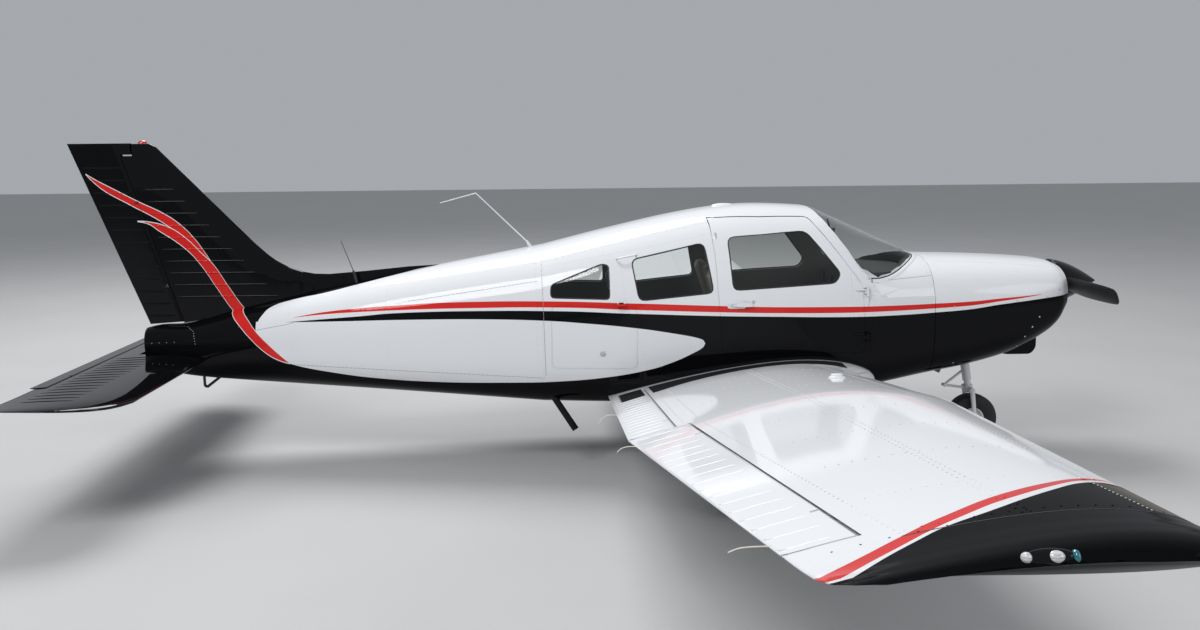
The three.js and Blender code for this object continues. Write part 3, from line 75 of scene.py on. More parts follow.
DECK_ROWS = [
    (1.700, 0.461, 1.400, 0.578, 0.985, 6.4, 4.2), (1.900, 0.491, 1.397, 0.562, 0.985, 3.3, 4.2),
    (2.285, 0.556, 1.386, 0.507, 0.980, 2.75, 3.6),
]
COWL_ROWS = [
    (2.285, 0.556, 1.386, 0.507, 0.980, 2.75, 3.6), (2.600, 0.610, 1.378, 0.486, 1.000, 2.85, 3.3),
    (2.900, 0.690, 1.364, 0.462, 1.030, 2.9, 3.0), (3.100, 0.790, 1.350, 0.436, 1.060, 2.8, 2.8),
    (3.200, 0.872, 1.338, 0.408, 1.080, 2.7, 2.7), (3.262, 0.975, 1.315, 0.352, 1.105, 2.6, 2.6),
]
RING_CORNERS = 28
# Wall and glass depths under the outer skin
CABIN_WALL, CONE_WALL, COWL_WALL = 0.038, 0.010, 0.012
GLASS_OUTSIDE, GLASS_INSIDE = 0.004, 0.010

# Wing: straight edges to the kink, then tapered to the tip
WING = dict(kink=2.690, tip=5.090, joint=5.000, trail=0.078, trail_tip=0.368, lead=1.678, lead_tip=1.438,
            root_z=0.423, dihedral=0.1261, nose_rise=0.100, nose_rise_tip=0.040, thickness=0.145,
            camber=0.022)
AIRFOIL_CORNERS = 11
# Columns: y and how far the leading edge reaches ahead of the straight one
WING_ROWS = [(0.430, 0.222), (0.660, 0.160), (0.900, 0.0), (2.690, 0.0), (4.9997, 0.0)]
# Columns: y, leading edge x, trailing edge x, share of the thickness above and below the chord, lift
TIP_ROWS = [
    (5.000, 1.447, 0.357, 1.0, 1.0, 0.0), (5.090, 1.438, 0.368, 1.0, 0.86, 0.002),
    (5.180, 1.420, 0.376, 0.95, 0.55, 0.008), (5.262, 1.376, 0.396, 0.8, 0.28, 0.020),
    (5.312, 1.285, 0.430, 0.5, 0.08, 0.032), (5.334, 1.130, 0.500, 0.12, 0.03, 0.038),
]
STABILATOR = dict(trail=-3.393, pivot_x=-2.915, pivot_z=0.720, tilt=0.035, thickness=0.092)
# Columns: y, leading edge x, share of the thickness above and below the chord, lift
STABILATOR_ROWS = [
    (1.420, -2.704, 1.0, 1.0, 0.0), (1.560, -2.740, 0.95, 0.8, 0.002), (1.660, -2.805, 0.85, 0.6, 0.005),
    (1.735, -2.910, 0.7, 0.4, 0.009), (1.785, -3.060, 0.45, 0.2, 0.013), (1.808, -3.230, 0.15, 0.06, 0.015),
]
# Fin. Columns: height and leading edge x; then share along the chord and share of the half width
FIN_ROWS = [
    (0.930, -1.960), (1.240, -1.960), (1.299, -2.018), (1.343, -2.147), (1.387, -2.225), (1.430, -2.282),
    (1.515, -2.374), (2.148, -2.986), (2.189, -3.024), (2.208, -3.062),
]
FIN_SHARES = [(0, 0), (0.02, 0.35), (0.08, 0.66), (0.25, 0.95), (0.45, 1), (1, 0.78)]
FIN = dict(half_root=0.042, half_top=0.026, low_z=0.930, top_z=2.208)
RUDDER_LINE = ((-2.899, 0.966), (-3.268, 2.112))
# Windshield: middle line's base and top, and how far it sweeps back at y = 1
SHIELD_BASE = (2.284, 1.387, 1.950)
SHIELD_TOP = (1.575, 1.712, 0.690)
SHIELD_HEIGHTS = (1.140, 1.262, 1.387, 1.500, 1.610, 1.712, 1.800)
SHIELD_CORNERS = 13
SHIELD_HALF = 0.640


# Camera, as the photograph was taken. Its turn: yaw, pitch and roll in degrees

CAMERA_PLACE, CAMERA_TURN = (-0.230, -7.678, 2.108), (1.887, -6.308, -0.524)
CAMERA_LENS, CAMERA_SHIFT = 32.62, (0.0028, -0.0338)


def add_object(name, data):
    made = bpy.data.objects.new(name, data)
    bpy.context.scene.collection.objects.link(made)
    return made


def make_camera():
    place = Vector(CAMERA_PLACE)
    yaw, pitch, roll = (math.radians(angle) for angle in CAMERA_TURN)
    ahead = Vector((math.sin(yaw) * math.cos(pitch), math.cos(yaw) * math.cos(pitch), math.sin(pitch)))
    right = ahead.cross(Vector((0, 0, 1))).normalized()
    above = right.cross(ahead)
    rolled_right = right * math.cos(roll) + above * math.sin(roll)
    rolled_above = above * math.cos(roll) - right * math.sin(roll)
    data = bpy.data.cameras.new("camera")
    data.sensor_width = 36
    data.lens = CAMERA_LENS
    data.shift_x, data.shift_y = CAMERA_SHIFT
    data.clip_end = 200
    camera = add_object("camera", data)
    camera.matrix_world = Matrix((
        (rolled_right.x, rolled_above.x, -ahead.x, place.x),
        (rolled_right.y, rolled_above.y, -ahead.y, place.y),
        (rolled_right.z, rolled_above.z, -ahead.z, place.z),
        (0, 0, 0, 1)))
    bpy.context.scene.camera = camera


make_camera()


# Shader maths as Python sums

class Value:
    """A shader output that takes part in sums."""

    def __init__(self, finish, socket):
        self.finish = finish
        self.socket = socket

    def math(self, operation, *others, clamp=False):
        return self.finish.node("ShaderNodeMath", {"operation": operation, "use_clamp": clamp},
                                dict(enumerate((self, *others))))

    def __add__(self, other):
        return self.math("ADD", other)

    def __radd__(self, other):
        return self.math("ADD", other)

    def __sub__(self, other):
        return self.math("SUBTRACT", other)

    def __rsub__(self, other):
        return self.finish.node("ShaderNodeMath", {"operation": "SUBTRACT"}, {0: other, 1: self})

    def __mul__(self, other):
        return self.math("MULTIPLY", other)

    def __rmul__(self, other):
        return self.math("MULTIPLY", other)

    def __truediv__(self, other):
        return self.math("DIVIDE", other)

    def __pow__(self, other):
        return self.math("POWER", other)

    def __abs__(self):
        return self.math("ABSOLUTE")

    def least(self, other):
        return self.math("MINIMUM", other)

    def most(self, other):
        return self.math("MAXIMUM", other)

    def above(self, edge, softness=0.0006):
        """1 above the edge and 0 below it, with a thin soft step."""
        return ((self - edge) / softness + 0.5).math("ADD", 0.0, clamp=True)

    def below(self, edge, softness=0.0006):
        return ((edge - self) / softness + 0.5).math("ADD", 0.0, clamp=True)

    def between(self, low, high, softness=0.0006):
        return self.above(low, softness) * self.below(high, softness)


class Finish:
    """A material and the nodes in it."""

    def __init__(self, name):
        self.material = bpy.data.materials.new(name)
        self.material.use_nodes = True
        self.tree = self.material.node_tree
        self.tree.nodes.clear()
        self.output = self.tree.nodes.new("ShaderNodeOutputMaterial")
        place = self.node("ShaderNodeTexCoord", {}, {}, "Object")
        self.place = place
        self.x, self.y, self.z = (self.node("ShaderNodeSeparateXYZ", {}, {0: place}, axis) for axis in "XYZ")

    def node(self, kind, settings, values, out=0):
        """A node's output: its settings come first, then the values or links of its sockets."""
        made = self.tree.nodes.new(kind)
        for name, value in settings.items():
            setattr(made, name, value)
        for key, value in values.items():
            socket = made.inputs[key]
            if isinstance(value, Value):
                self.tree.links.new(value.socket, socket)
            else:
                socket.default_value = value
        return Value(self, made.outputs[out])

    def curve(self, along, points):
        """A smooth curve through points (along, value), held level past its ends."""
        low, high = points[0][0], points[-1][0]
        values = [value for _, value in points]
        base, top = min(values), max(values)
        span = max(top - base, 1e-6)
        share = ((along - low) / (high - low)).math("ADD", 0.0, clamp=True)
        result = self.node("ShaderNodeFloatCurve", {}, {"Value": share})
        mapping = result.socket.node.mapping
        drawn = mapping.curves[0]
        while len(drawn.points) < len(points):
            drawn.points.new(0.5, 0.5)
        for point, (place, value) in zip(drawn.points, points):
            point.location = ((place - low) / (high - low), (value - base) / span)
        mapping.update()
        return result * span + base

    def noise(self, scale, detail=2.0):
        return self.node("ShaderNodeTexNoise", {}, {
            "Vector": self.place, "Scale": scale, "Detail": detail}, "Fac")

    def mix(self, share, low, high):
        """Colour low at share 0 and colour high at share 1."""
        return self.node("ShaderNodeMix", {"data_type": "RGBA"}, {0: share, 6: low, 7: high}, 2)

    def surface(self, colour, roughness, fixed=None, bump=None, strength=0.2, distance=0.001, **inputs):
        """A Principled surface, whose fixed values sit on its own sockets."""
        values = {"Base Color": colour, "Roughness": roughness, **inputs, **(fixed or {})}
        if bump is not None:
            values["Normal"] = self.node("ShaderNodeBump", {}, {
                "Height": bump, "Strength": strength, "Distance": distance})
        shader = self.node("ShaderNodeBsdfPrincipled", {}, values)
        self.tree.links.new(shader.socket, self.output.inputs["Surface"])
        return self.material


WHITE_COLOUR = (0.74, 0.75, 0.77, 1)
BLACK_COLOUR = (0.0030, 0.0032, 0.0040, 1)
RED_COLOUR = (0.62, 0.022, 0.018, 1)
GLOSS = {"Coat Roughness": 0.03, "Coat IOR": 1.33, "Specular IOR Level": 0.0}

# Paint edges on the fuselage, seen from the side: x and z
WHITE_TOP_EDGE = [(-2.330, 0.905), (-2.326, 0.954), (-2.295, 1.022), (-2.233, 1.080), (-2.091, 1.124),
                  (-1.870, 1.170), (-1.652, 1.222), (-1.361, 1.290), (-1.029, 1.360)]
WHITE_LOW_EDGE = [(-2.330, 0.905), (-2.270, 0.830), (-2.093, 0.702), (-1.779, 0.640), (-1.490, 0.605),
                  (-1.056, 0.583), (-0.625, 0.585), (-0.246, 0.598), (0.029, 0.622), (0.350, 0.678),
                  (0.488, 0.721), (0.640, 0.788), (0.701, 0.823), (0.721, 0.852)]
BAND_LOW_EDGE = [(-2.124, 0.984), (-1.766, 0.995), (-1.243, 1.012), (-0.761, 1.019), (-0.373, 1.013),
                 (-0.069, 0.993), (0.234, 0.963), (0.539, 0.917), (0.660, 0.893), (0.705, 0.877),
                 (0.721, 0.852)]
BAND_TOP_EDGE = [(-2.124, 0.984), (-1.621, 1.029), (-1.243, 1.060), (-0.774, 1.074), (-0.372, 1.077),
                 (0.235, 1.057), (0.843, 1.035), (1.217, 1.026), (1.631, 1.017), (1.909, 1.017),
                 (2.345, 1.031), (2.774, 1.075), (3.214, 1.122), (3.290, 1.130)]
RED_TOP_EDGE = [(-2.065, 1.016), (-1.331, 1.105), (-0.756, 1.135), (-0.372, 1.140), (0.235, 1.125),
                (0.843, 1.102), (1.217, 1.090), (1.630, 1.085), (1.908, 1.084), (2.344, 1.089),
                (2.774, 1.114), (3.038, 1.133)]
RED_LOW_EDGE = [(-2.065, 1.015), (-1.330, 1.074), (-0.756, 1.094), (-0.372, 1.100), (0.235, 1.082),
                (0.843, 1.060), (1.217, 1.050), (1.630, 1.045), (1.908, 1.047), (2.344, 1.058),
                (2.774, 1.097), (3.038, 1.131)]
# Two red feathers that run from the rudder down to the tail, with a white line round each: x and z
HIGH_FEATHER_TOP = [(-3.511, 2.002), (-3.446, 1.962), (-3.311, 1.890), (-3.145, 1.805), (-2.969, 1.717),
                    (-2.862, 1.639), (-2.776, 1.546), (-2.705, 1.442), (-2.667, 1.380)]
HIGH_FEATHER_LOW = [(-3.511, 2.002), (-3.457, 1.945), (-3.381, 1.883), (-3.216, 1.791), (-3.060, 1.707),
                    (-2.933, 1.624), (-2.826, 1.542), (-2.731, 1.440), (-2.667, 1.380)]
LOW_FEATHER_TOP = [(-3.167, 1.673), (-3.082, 1.667), (-2.943, 1.625), (-2.826, 1.542), (-2.731, 1.443),
                   (-2.667, 1.380), (-2.559, 1.213), (-2.450, 1.052), (-2.389, 0.990), (-2.335, 0.926),
                   (-2.251, 0.842), (-2.093, 0.702)]
LOW_FEATHER_LOW = [(-3.167, 1.673), (-3.083, 1.652), (-3.025, 1.610), (-2.908, 1.532), (-2.811, 1.449),
                   (-2.735, 1.355), (-2.640, 1.205), (-2.526, 1.036), (-2.442, 0.950), (-2.375, 0.880),
                   (-2.274, 0.786), (-2.193, 0.735), (-2.093, 0.702)]
PIN_LINE = 0.0045
# Stripes round the wing tips, seen from above: x and distance from the middle line
TIP_RED_INNER = [(0.385, 5.161), (0.505, 5.086), (0.633, 4.998), (0.736, 4.927), (0.804, 4.885),
                 (0.932, 4.803), (1.051, 4.738), (1.148, 4.685), (1.304, 4.590), (1.470, 4.510)]
TIP_RED_OUTER = [(0.423, 5.220), (0.522, 5.140), (0.627, 5.062), (0.729, 4.986), (0.851, 4.908),
                 (0.924, 4.860), (1.039, 4.795), (1.137, 4.733), (1.298, 4.620), (1.470, 4.530)]
TIP_WHITE_OUTER = [(0.445, 5.242), (0.569, 5.126), (0.669, 5.050), (0.738, 5.000), (0.898, 4.920),
                   (1.025, 4.842), (1.125, 4.774), (1.289, 4.651), (1.470, 4.560)]


def feather(finish, top, low):
    """Masks of a feather's red and of the white line round it."""
    high_z, low_z = finish.curve(finish.x, top), finish.curve(finish.x, low)
    inside = finish.x.between(top[0][0], top[-1][0])
    whole = finish.z.between(low_z - PIN_LINE, high_z + PIN_LINE) * inside
    return finish.z.between(low_z + PIN_LINE * 0.3, high_z - PIN_LINE * 0.3) * inside, whole


def glossy(finish, colour, coat=1.0):
    """Sprayed and polished paint: faint ripples in the metal under it and a little dust."""
    ripple = finish.noise(2.4, 1.0) + finish.noise(160.0, 1.0) * 0.02
    film = finish.noise(7.0, 4.0)
    return finish.surface(colour, film * 0.02 + 0.22, GLOSS, bump=ripple, strength=0.05, distance=0.010,
                          **{"Coat Weight": coat})


def fuselage_paint():
    finish = Finish("fuselage_paint")
    x, z = finish.x, finish.z
    top, low = finish.curve(x, WHITE_TOP_EDGE), finish.curve(x, WHITE_LOW_EDGE)
    band_top, band_low = finish.curve(x, BAND_TOP_EDGE), finish.curve(x, BAND_LOW_EDGE)
    red_top, red_low = finish.curve(x, RED_TOP_EDGE), finish.curve(x, RED_LOW_EDGE)
    ahead_of_tail = x.above(WHITE_TOP_EDGE[0][0])
    upper_white = z.above(band_top) * z.below(top).most(x.above(WHITE_TOP_EDGE[-1][0]))
    lobe = z.above(low) * z.below(band_low) * x.below(WHITE_LOW_EDGE[-1][0])
    white = (upper_white + lobe).least(1.0) * ahead_of_tail
    colour = finish.mix(white, BLACK_COLOUR, WHITE_COLOUR)
    red_line = z.between(red_low, red_top) * x.between(RED_TOP_EDGE[0][0], RED_TOP_EDGE[-1][0])
    colour = finish.mix(red_line, colour, RED_COLOUR)
    red, edge = feather(finish, LOW_FEATHER_TOP, LOW_FEATHER_LOW)
    colour = finish.mix(edge, colour, WHITE_COLOUR)
    return glossy(finish, finish.mix(red, colour, RED_COLOUR), coat=white * 0.5 + 0.5)


def tail_paint():
    finish = Finish("tail_paint")
    colour = BLACK_COLOUR
    for top, low in ((HIGH_FEATHER_TOP, HIGH_FEATHER_LOW), (LOW_FEATHER_TOP, LOW_FEATHER_LOW)):
        red, edge = feather(finish, top, low)
        colour = finish.mix(red, finish.mix(edge, colour, WHITE_COLOUR), RED_COLOUR)
    return glossy(finish, colour, coat=0.7)


# Gritty walkways on the wing roots: x from and to on the flap and ahead of it, inner edge, outer edge
WALKWAY_X = ((0.092, 0.285), (0.335, 1.620))
WALKWAY_INNER = 0.632
WALKWAY_OUTER = [(0.060, 1.090), (0.290, 1.060), (0.600, 0.930), (1.000, 0.845), (1.650, 0.800)]
# The landing light's cover at the leading edge. Its warm grey colour is a painted reflection of the ground
LENS_FROM_X, LENS_Y, LENS_REFLECTION_COLOUR = 1.318, (4.630, 4.972), (0.075, 0.068, 0.055, 1)
WALKWAY_COLOUR = (0.020, 0.021, 0.023, 1)


def wing_paint():
    finish = Finish("wing_paint")
    reach = abs(finish.y)
    black = reach.above(finish.curve(finish.x, TIP_WHITE_OUTER))
    red = reach.between(finish.curve(finish.x, TIP_RED_INNER), finish.curve(finish.x, TIP_RED_OUTER))
    colour = finish.mix(red, finish.mix(black, WHITE_COLOUR, BLACK_COLOUR), RED_COLOUR)
    (flap_from, flap_to), (wing_from, wing_to) = WALKWAY_X
    along = finish.x.between(flap_from, flap_to) + finish.x.between(wing_from, wing_to)
    clear_of_belly = ((finish.x - 0.09) * 0.16 + 0.01).least(0.045)
    upper = finish.z.above(reach * WING["dihedral"] + WING["root_z"] + clear_of_belly, 0.002)
    walkway = along * upper * reach.between(WALKWAY_INNER, finish.curve(finish.x, WALKWAY_OUTER))
    lens = finish.x.above(LENS_FROM_X) * reach.between(*LENS_Y)
    # The lens strip gets a warm grey that is a painted reflection of the ground
    colour = finish.mix(lens, colour, LENS_REFLECTION_COLOUR)
    grit = finish.noise(900.0, 2.0)
    ripple = finish.noise(2.4, 1.0) * (1 - walkway) + grit * walkway * 0.25
    film = {"Coat Roughness": 0.07, "Coat IOR": 1.28, "Specular IOR Level": 0.0}
    return finish.surface(
        finish.mix(walkway, colour, WALKWAY_COLOUR), walkway * 0.6 + 0.3, film,
        bump=ripple, strength=0.04, distance=0.010, **{"Coat Weight": 1 - walkway - black * 0.7})


def plain(name, colour, roughness, metallic=0.0, grain=300.0, strength=0.1, spread=0.08):
    """Moulded, cast or rolled stuff with a fine grain."""
    finish = Finish(name)
    tone = finish.noise(14.0, 4.0)
    dark = tuple(c * (1 - spread) for c in colour[:3]) + (1,)
    light = tuple(min(1, c * (1 + spread)) for c in colour[:3]) + (1,)
    return finish.surface(finish.mix(tone, dark, light), tone * 0.12 + roughness, {"Metallic": metallic},
                          bump=finish.noise(grain, 2.0), strength=strength, distance=0.0006)


def plain_gloss(name, colour):
    return glossy(Finish(name), colour)


def lens_finish(name, colour):
    """Moulded lens with fine flutes in it."""
    finish = Finish(name)
    flutes = (finish.z * 900.0).math("SINE") * 0.5 + 0.5
    tone = finish.mix(flutes, colour, tuple(c * 0.75 for c in colour[:3]) + (1,))
    clear = {"Coat Weight": 1.0, "Coat Roughness": 0.02, "Transmission Weight": 0.25}
    return finish.surface(tone, flutes * 0.08 + 0.06, clear, bump=flutes, strength=0.25, distance=0.001)


def tinted_glass(name, tint):
    finish = Finish(name)
    clear = finish.node("ShaderNodeBsdfTransparent", {}, {"Color": tint})
    gloss = finish.node("ShaderNodeBsdfGlossy", {}, {"Color": (1, 1, 1, 1), "Roughness": 0.01})
    turned_away = finish.node("ShaderNodeLayerWeight", {}, {"Blend": 0.5}, "Facing")
    share = turned_away.math("POWER", 8.0) * 0.7 + 0.02
    both = finish.node("ShaderNodeMixShader", {}, {0: share, 1: clear, 2: gloss})
    finish.tree.links.new(both.socket, finish.output.inputs["Surface"])
    return finish.material


FUSELAGE = fuselage_paint()
TAIL = tail_paint()
WING_SKIN = wing_paint()
GLASS = tinted_glass("cabin_glass", (0.92, 0.93, 0.925, 1))
LINING = plain("cabin_lining", (0.095, 0.094, 0.092, 1), 0.75, grain=900.0, strength=0.25)
RUBBER = plain("tyre_rubber", (0.018, 0.018, 0.019, 1), 0.72, grain=420.0, strength=0.3)
SEAL = plain("window_seal", (0.020, 0.021, 0.023, 1), 0.5)
ALLOY = plain("cast_alloy", (0.62, 0.63, 0.64, 1), 0.38, 1.0, grain=500.0, strength=0.15)
STEEL = plain("gear_steel", (0.30, 0.31, 0.32, 1), 0.42, 0.85, grain=260.0, strength=0.12)
GEAR_PAINT = plain("gear_paint", (0.70, 0.71, 0.72, 1), 0.38, 0.0, grain=200.0, strength=0.08)
PLASTIC = plain("dark_plastic", (0.022, 0.023, 0.025, 1), 0.55, grain=800.0, strength=0.2)
PROP_BLACK = plain("propeller_black", (0.012, 0.012, 0.013, 1), 0.36, 0.0, grain=300.0, strength=0.05)

BLACK = plain_gloss("black_paint", BLACK_COLOUR)
WHITE = plain_gloss("white_paint", WHITE_COLOUR)
# Inboard wing rivets: grey darker than the wing's white, which is painted shade round the small heads
RIVET_SHADE_GREY = plain("rivet_heads", (0.50, 0.51, 0.53, 1), 0.5)
# Grey of the lap strips, darker than the paint: painted shade of the lapped skin edges
LAP_SHADOW_GREY = plain("lap_shadow", (0.26, 0.27, 0.28, 1), 0.6)
TRIM_WHITE = plain("white_trim", (0.70, 0.71, 0.73, 1), 0.34)
BRIGHT = plain("bright_screws", (0.50, 0.51, 0.53, 1), 0.32, 0.9)
WICK = plain("wick_cord", (0.72, 0.68, 0.58, 1), 0.7)
EXHAUST = plain("exhaust_steel", (0.16, 0.13, 0.11, 1), 0.5, 0.8, grain=180.0, strength=0.2, spread=0.3)
ENGINE_GREY = plain("engine_castings", (0.14, 0.145, 0.15, 1), 0.55, 0.5, grain=240.0, strength=0.3)
PANEL = plain("panel_crackle", (0.030, 0.031, 0.033, 1), 0.68, grain=700.0, strength=0.4)
CARPET = plain("cabin_carpet", (0.060, 0.058, 0.056, 1), 0.95, grain=1400.0, strength=0.9, spread=0.25)
DIAL = plain("dial_black", (0.006, 0.006, 0.007, 1), 0.25, grain=50.0, strength=0.0)
SEAT_CLOTH = plain("seat_cloth", (0.50, 0.46, 0.41, 1), 0.88, grain=1500.0, strength=0.6, spread=0.14)
CLEAR_LENS = lens_finish("clear_lens", (0.88, 0.89, 0.90, 1))
RED_LENS = lens_finish("red_lens", (0.62, 0.012, 0.010, 1))
GREEN_LENS = lens_finish("green_lens", (0.010, 0.20, 0.26, 1))


# Lofted skins

@functools.lru_cache(maxsize=None)
def curve_table(rows):
    """A table and its slope at each row."""
    table = np.array(rows, float)
    number = np.arange(len(table))
    before, after = table[np.maximum(number - 1, 0)], table[np.minimum(number + 1, len(table) - 1)]
    return table, (after - before) / (after[:, :1] - before[:, :1])


def smooth_rows(rows, place):
    """The columns of a table at each place, on a smooth curve through its rows."""
    table, slopes = curve_table(tuple(rows))
    place = np.asarray(place, float)
    k = np.clip(np.searchsorted(table[:, 0], place, side="right") - 1, 0, len(table) - 2)
    low, rise = table[k], table[k + 1] - table[k]
    step = rise[:, :1]
    t = (place[:, None] - low[:, :1]) / step
    m0, m1 = slopes[k] * step, slopes[k + 1] * step
    return low + t * (m0 + t * (3 * rise - 2 * m0 - m1 + t * (m0 + m1 - 2 * rise)))


def straight_rows(rows, place):
    """The columns of a table at each place, on straight lines between its rows."""
    table = np.array(rows, float)
    return np.stack([np.interp(place, table[:, 0], column) for column in table.T], axis=1)


def hull_section(rows, depth):
    def at(place, corner):
        _, bottom, top, half, waist, round_top, round_low = smooth_rows(rows, place).T
        angle = 2 * np.pi * corner / RING_CORNERS
        c, s = np.cos(angle), np.sin(angle)
        power = 2 / np.where(s > 0, round_top, round_low)
        reach = np.where(s > 0, top - depth - waist, waist - bottom - depth)
        return np.stack([(half - depth) * np.sign(c) * np.abs(c) ** power,
                         waist + reach * np.sign(s) * np.abs(s) ** power], axis=1)
    return at


def airfoil(lead, trail, corner, thickness, camber, rise, base_z, above=1.0, below=1.0):
    """Points x and z, from the trailing edge over the top and back."""
    steps = AIRFOIL_CORNERS - 1
    along = np.abs(steps - corner) / steps
    c = (1 - np.cos(np.pi * along)) / 2
    shape = 0.2969 * np.sqrt(c) - 0.126 * c - 0.3516 * c ** 2 + 0.2843 * c ** 3 - 0.1036 * c ** 4
    line = np.where(c < 0.4, camber / 0.16 * (0.8 * c - c * c), camber / 0.36 * (0.2 + 0.8 * c - c * c))
    side = np.where(corner <= steps, above, -1.0 * np.asarray(below))
    half = side * np.maximum(5 * thickness * shape, 0.0015)
    chord = lead - trail
    return np.stack([lead - c * chord, base_z + rise * (1 - c) + chord * (line + half)], axis=1)


def wing_edges(y):
    t = np.clip((y - WING["kink"]) / (WING["tip"] - WING["kink"]), 0, 1)
    lead = WING["lead"] + t * (WING["lead_tip"] - WING["lead"])
    trail = WING["trail"] + t * (WING["trail_tip"] - WING["trail"])
    rise = WING["nose_rise"] + t * (WING["nose_rise_tip"] - WING["nose_rise"])
    return lead, trail, rise, WING["root_z"] + WING["dihedral"] * y


def wing_section(place, corner):
    y = np.abs(place)
    lead, trail, rise, base_z = wing_edges(y)
    ahead = straight_rows(WING_ROWS, y)[:, 1]
    return airfoil(lead + ahead, trail, corner, WING["thickness"], WING["camber"], rise, base_z)


def tip_section(place, corner):
    y = np.abs(place)
    _, lead, trail, above, below, lift = smooth_rows(TIP_ROWS, y).T
    _, _, rise, base_z = wing_edges(y)
    return airfoil(lead, trail, corner, WING["thickness"], WING["camber"], rise, base_z + lift, above, below)


def stabilator_height(x):
    return STABILATOR["pivot_z"] + (STABILATOR["pivot_x"] - x) * STABILATOR["tilt"]


def stabilator_section(place, corner):
    y = np.maximum(np.abs(place), STABILATOR_ROWS[0][0])
    _, lead, above, below, lift = smooth_rows(STABILATOR_ROWS, y).T
    trail = STABILATOR["trail"]
    rise = stabilator_height(lead) - stabilator_height(trail)
    base_z = stabilator_height(trail) + lift
    return airfoil(lead, trail, corner, STABILATOR["thickness"], 0.0, rise, base_z, above, below)


def rudder_hinge_x(z):
    (x0, z0), (x1, z1) = RUDDER_LINE
    return x0 + (z - z0) / (z1 - z0) * (x1 - x0)


def fin_section(place, corner):
    """Points x and y, from the trailing edge's right-hand side round the leading edge to its left."""
    lead = straight_rows(FIN_ROWS, place)[:, 1]
    share = (place - FIN["low_z"]) / (FIN["top_z"] - FIN["low_z"])
    half = FIN["half_root"] + share * (FIN["half_top"] - FIN["half_root"])
    rear = rudder_hinge_x(place) - 0.060
    steps = len(FIN_SHARES) - 1
    away = np.abs(corner - steps)
    nodes = np.arange(-1, steps + 1)
    along = np.interp(away, nodes[1:], [row[0] for row in FIN_SHARES])
    wide = smooth_rows([(k, share) for k, (_, share) in enumerate(FIN_SHARES)], away)[:, 1]
    side = np.where(corner < steps, -1.0, 1.0)
    return np.stack([lead + along * (rear - lead), side * half * wide], axis=1)


def shield_section(inward):
    def surface(y, z):
        t = (z - SHIELD_BASE[1]) / (SHIELD_TOP[1] - SHIELD_BASE[1])
        sweep = SHIELD_BASE[2] + t * (SHIELD_TOP[2] - SHIELD_BASE[2])
        return SHIELD_BASE[0] + t * (SHIELD_TOP[0] - SHIELD_BASE[0]) - sweep * y ** 2

    def at(place, corner):
        y = SHIELD_HALF * (2 * corner / (SHIELD_CORNERS - 1) - 1)
        step = 0.001
        across = (surface(y + step, place) - surface(y, place)) / step
        upward = (surface(y, place + step) - surface(y, place)) / step
        return np.stack([surface(y, place) - inward * np.sqrt(1 + across ** 2 + upward ** 2), y], axis=1)
    return at


class Skin:
    """A lofted surface of the model: its flat facets, and the smooth surface through their corners."""

    def __init__(self, axis, places, corners, at, closed=False):
        self.axis = axis
        self.others = [k for k in range(3) if k != axis]
        self.places = np.array(sorted(places), float)
        self.corners = corners
        self.closed = closed
        self.at = at
        numbers = np.arange(corners, dtype=float)
        self.rings = np.stack([at(np.full(corners, place), numbers) for place in self.places])

    def locate(self, points):
        """Each point's number round the section, its distance to the facet and the facet's direction."""
        u = points[:, self.axis]
        k = np.clip(np.searchsorted(self.places, u, side="right") - 1, 0, len(self.places) - 2)
        t = (u - self.places[k]) / (self.places[k + 1] - self.places[k])
        beyond = np.maximum(0, np.maximum(-t, t - 1)) * (self.places[k + 1] - self.places[k])
        t = np.clip(t, 0, 1)[:, None, None]
        ring = self.rings[k] * (1 - t) + self.rings[k + 1] * t
        start = ring if self.closed else ring[:, :-1]
        stop = np.roll(ring, -1, axis=1) if self.closed else ring[:, 1:]
        way = stop - start
        offset = points[:, None, self.others] - start
        length = np.maximum((way ** 2).sum(2), 1e-12)
        share = np.clip((offset * way).sum(2) / length, 0, 1)
        gap = np.sqrt(((offset - way * share[..., None]) ** 2).sum(2))
        best = gap.argmin(1)
        row = np.arange(len(points))
        direction = way[row, best] / np.sqrt(length[row, best])[:, None]
        return best + share[row, best], gap[row, best] + beyond, direction

    def wrapped(self, number):
        return np.mod(number, self.corners) if self.closed else np.clip(number, 0, self.corners - 1)

    def project(self, points, number, direction):
        """The number at which the smooth section lies straight out from each point's facet."""
        floor = np.floor(np.minimum(number, self.corners - (1e-6 if self.closed else 1 + 1e-6)))
        low, high = floor - 0.6, floor + 1.6
        if not self.closed:
            low, high = np.maximum(low, 0), np.minimum(high, self.corners - 1)
        u = points[:, self.axis]
        for _ in range(15):
            middle = (low + high) / 2
            ahead = ((self.at(u, self.wrapped(middle)) - points[:, self.others]) * direction).sum(1) > 0
            high = np.where(ahead, middle, high)
            low = np.where(ahead, low, middle)
        return self.wrapped((low + high) / 2)

    def point(self, u, number):
        u = np.asarray(u, float)
        result = np.zeros((len(u), 3))
        result[:, self.axis] = u
        result[:, self.others] = self.at(u, self.wrapped(np.asarray(number, float)))
        return result

    def normal(self, u, number):
        """A unit normal of the smooth surface, either way out."""
        du, dn = 0.004, 0.03
        low, high = self.places[0], self.places[-1]
        along = self.point(np.minimum(u + du, high), number) - self.point(np.maximum(u - du, low), number)
        if self.closed:
            round_it = self.point(u, number + dn) - self.point(u, number - dn)
        else:
            top = self.corners - 1
            round_it = self.point(u, np.minimum(number + dn, top)) - self.point(u, np.maximum(number - dn, 0))
        cross = np.cross(along, round_it)
        return cross / np.maximum(np.linalg.norm(cross, axis=1), 1e-12)[:, None]


def hull_skin(rows, x0, x1, steps, depth):
    return Skin(0, np.linspace(x0, x1, steps + 1), RING_CORNERS, hull_section(rows, depth), closed=True)


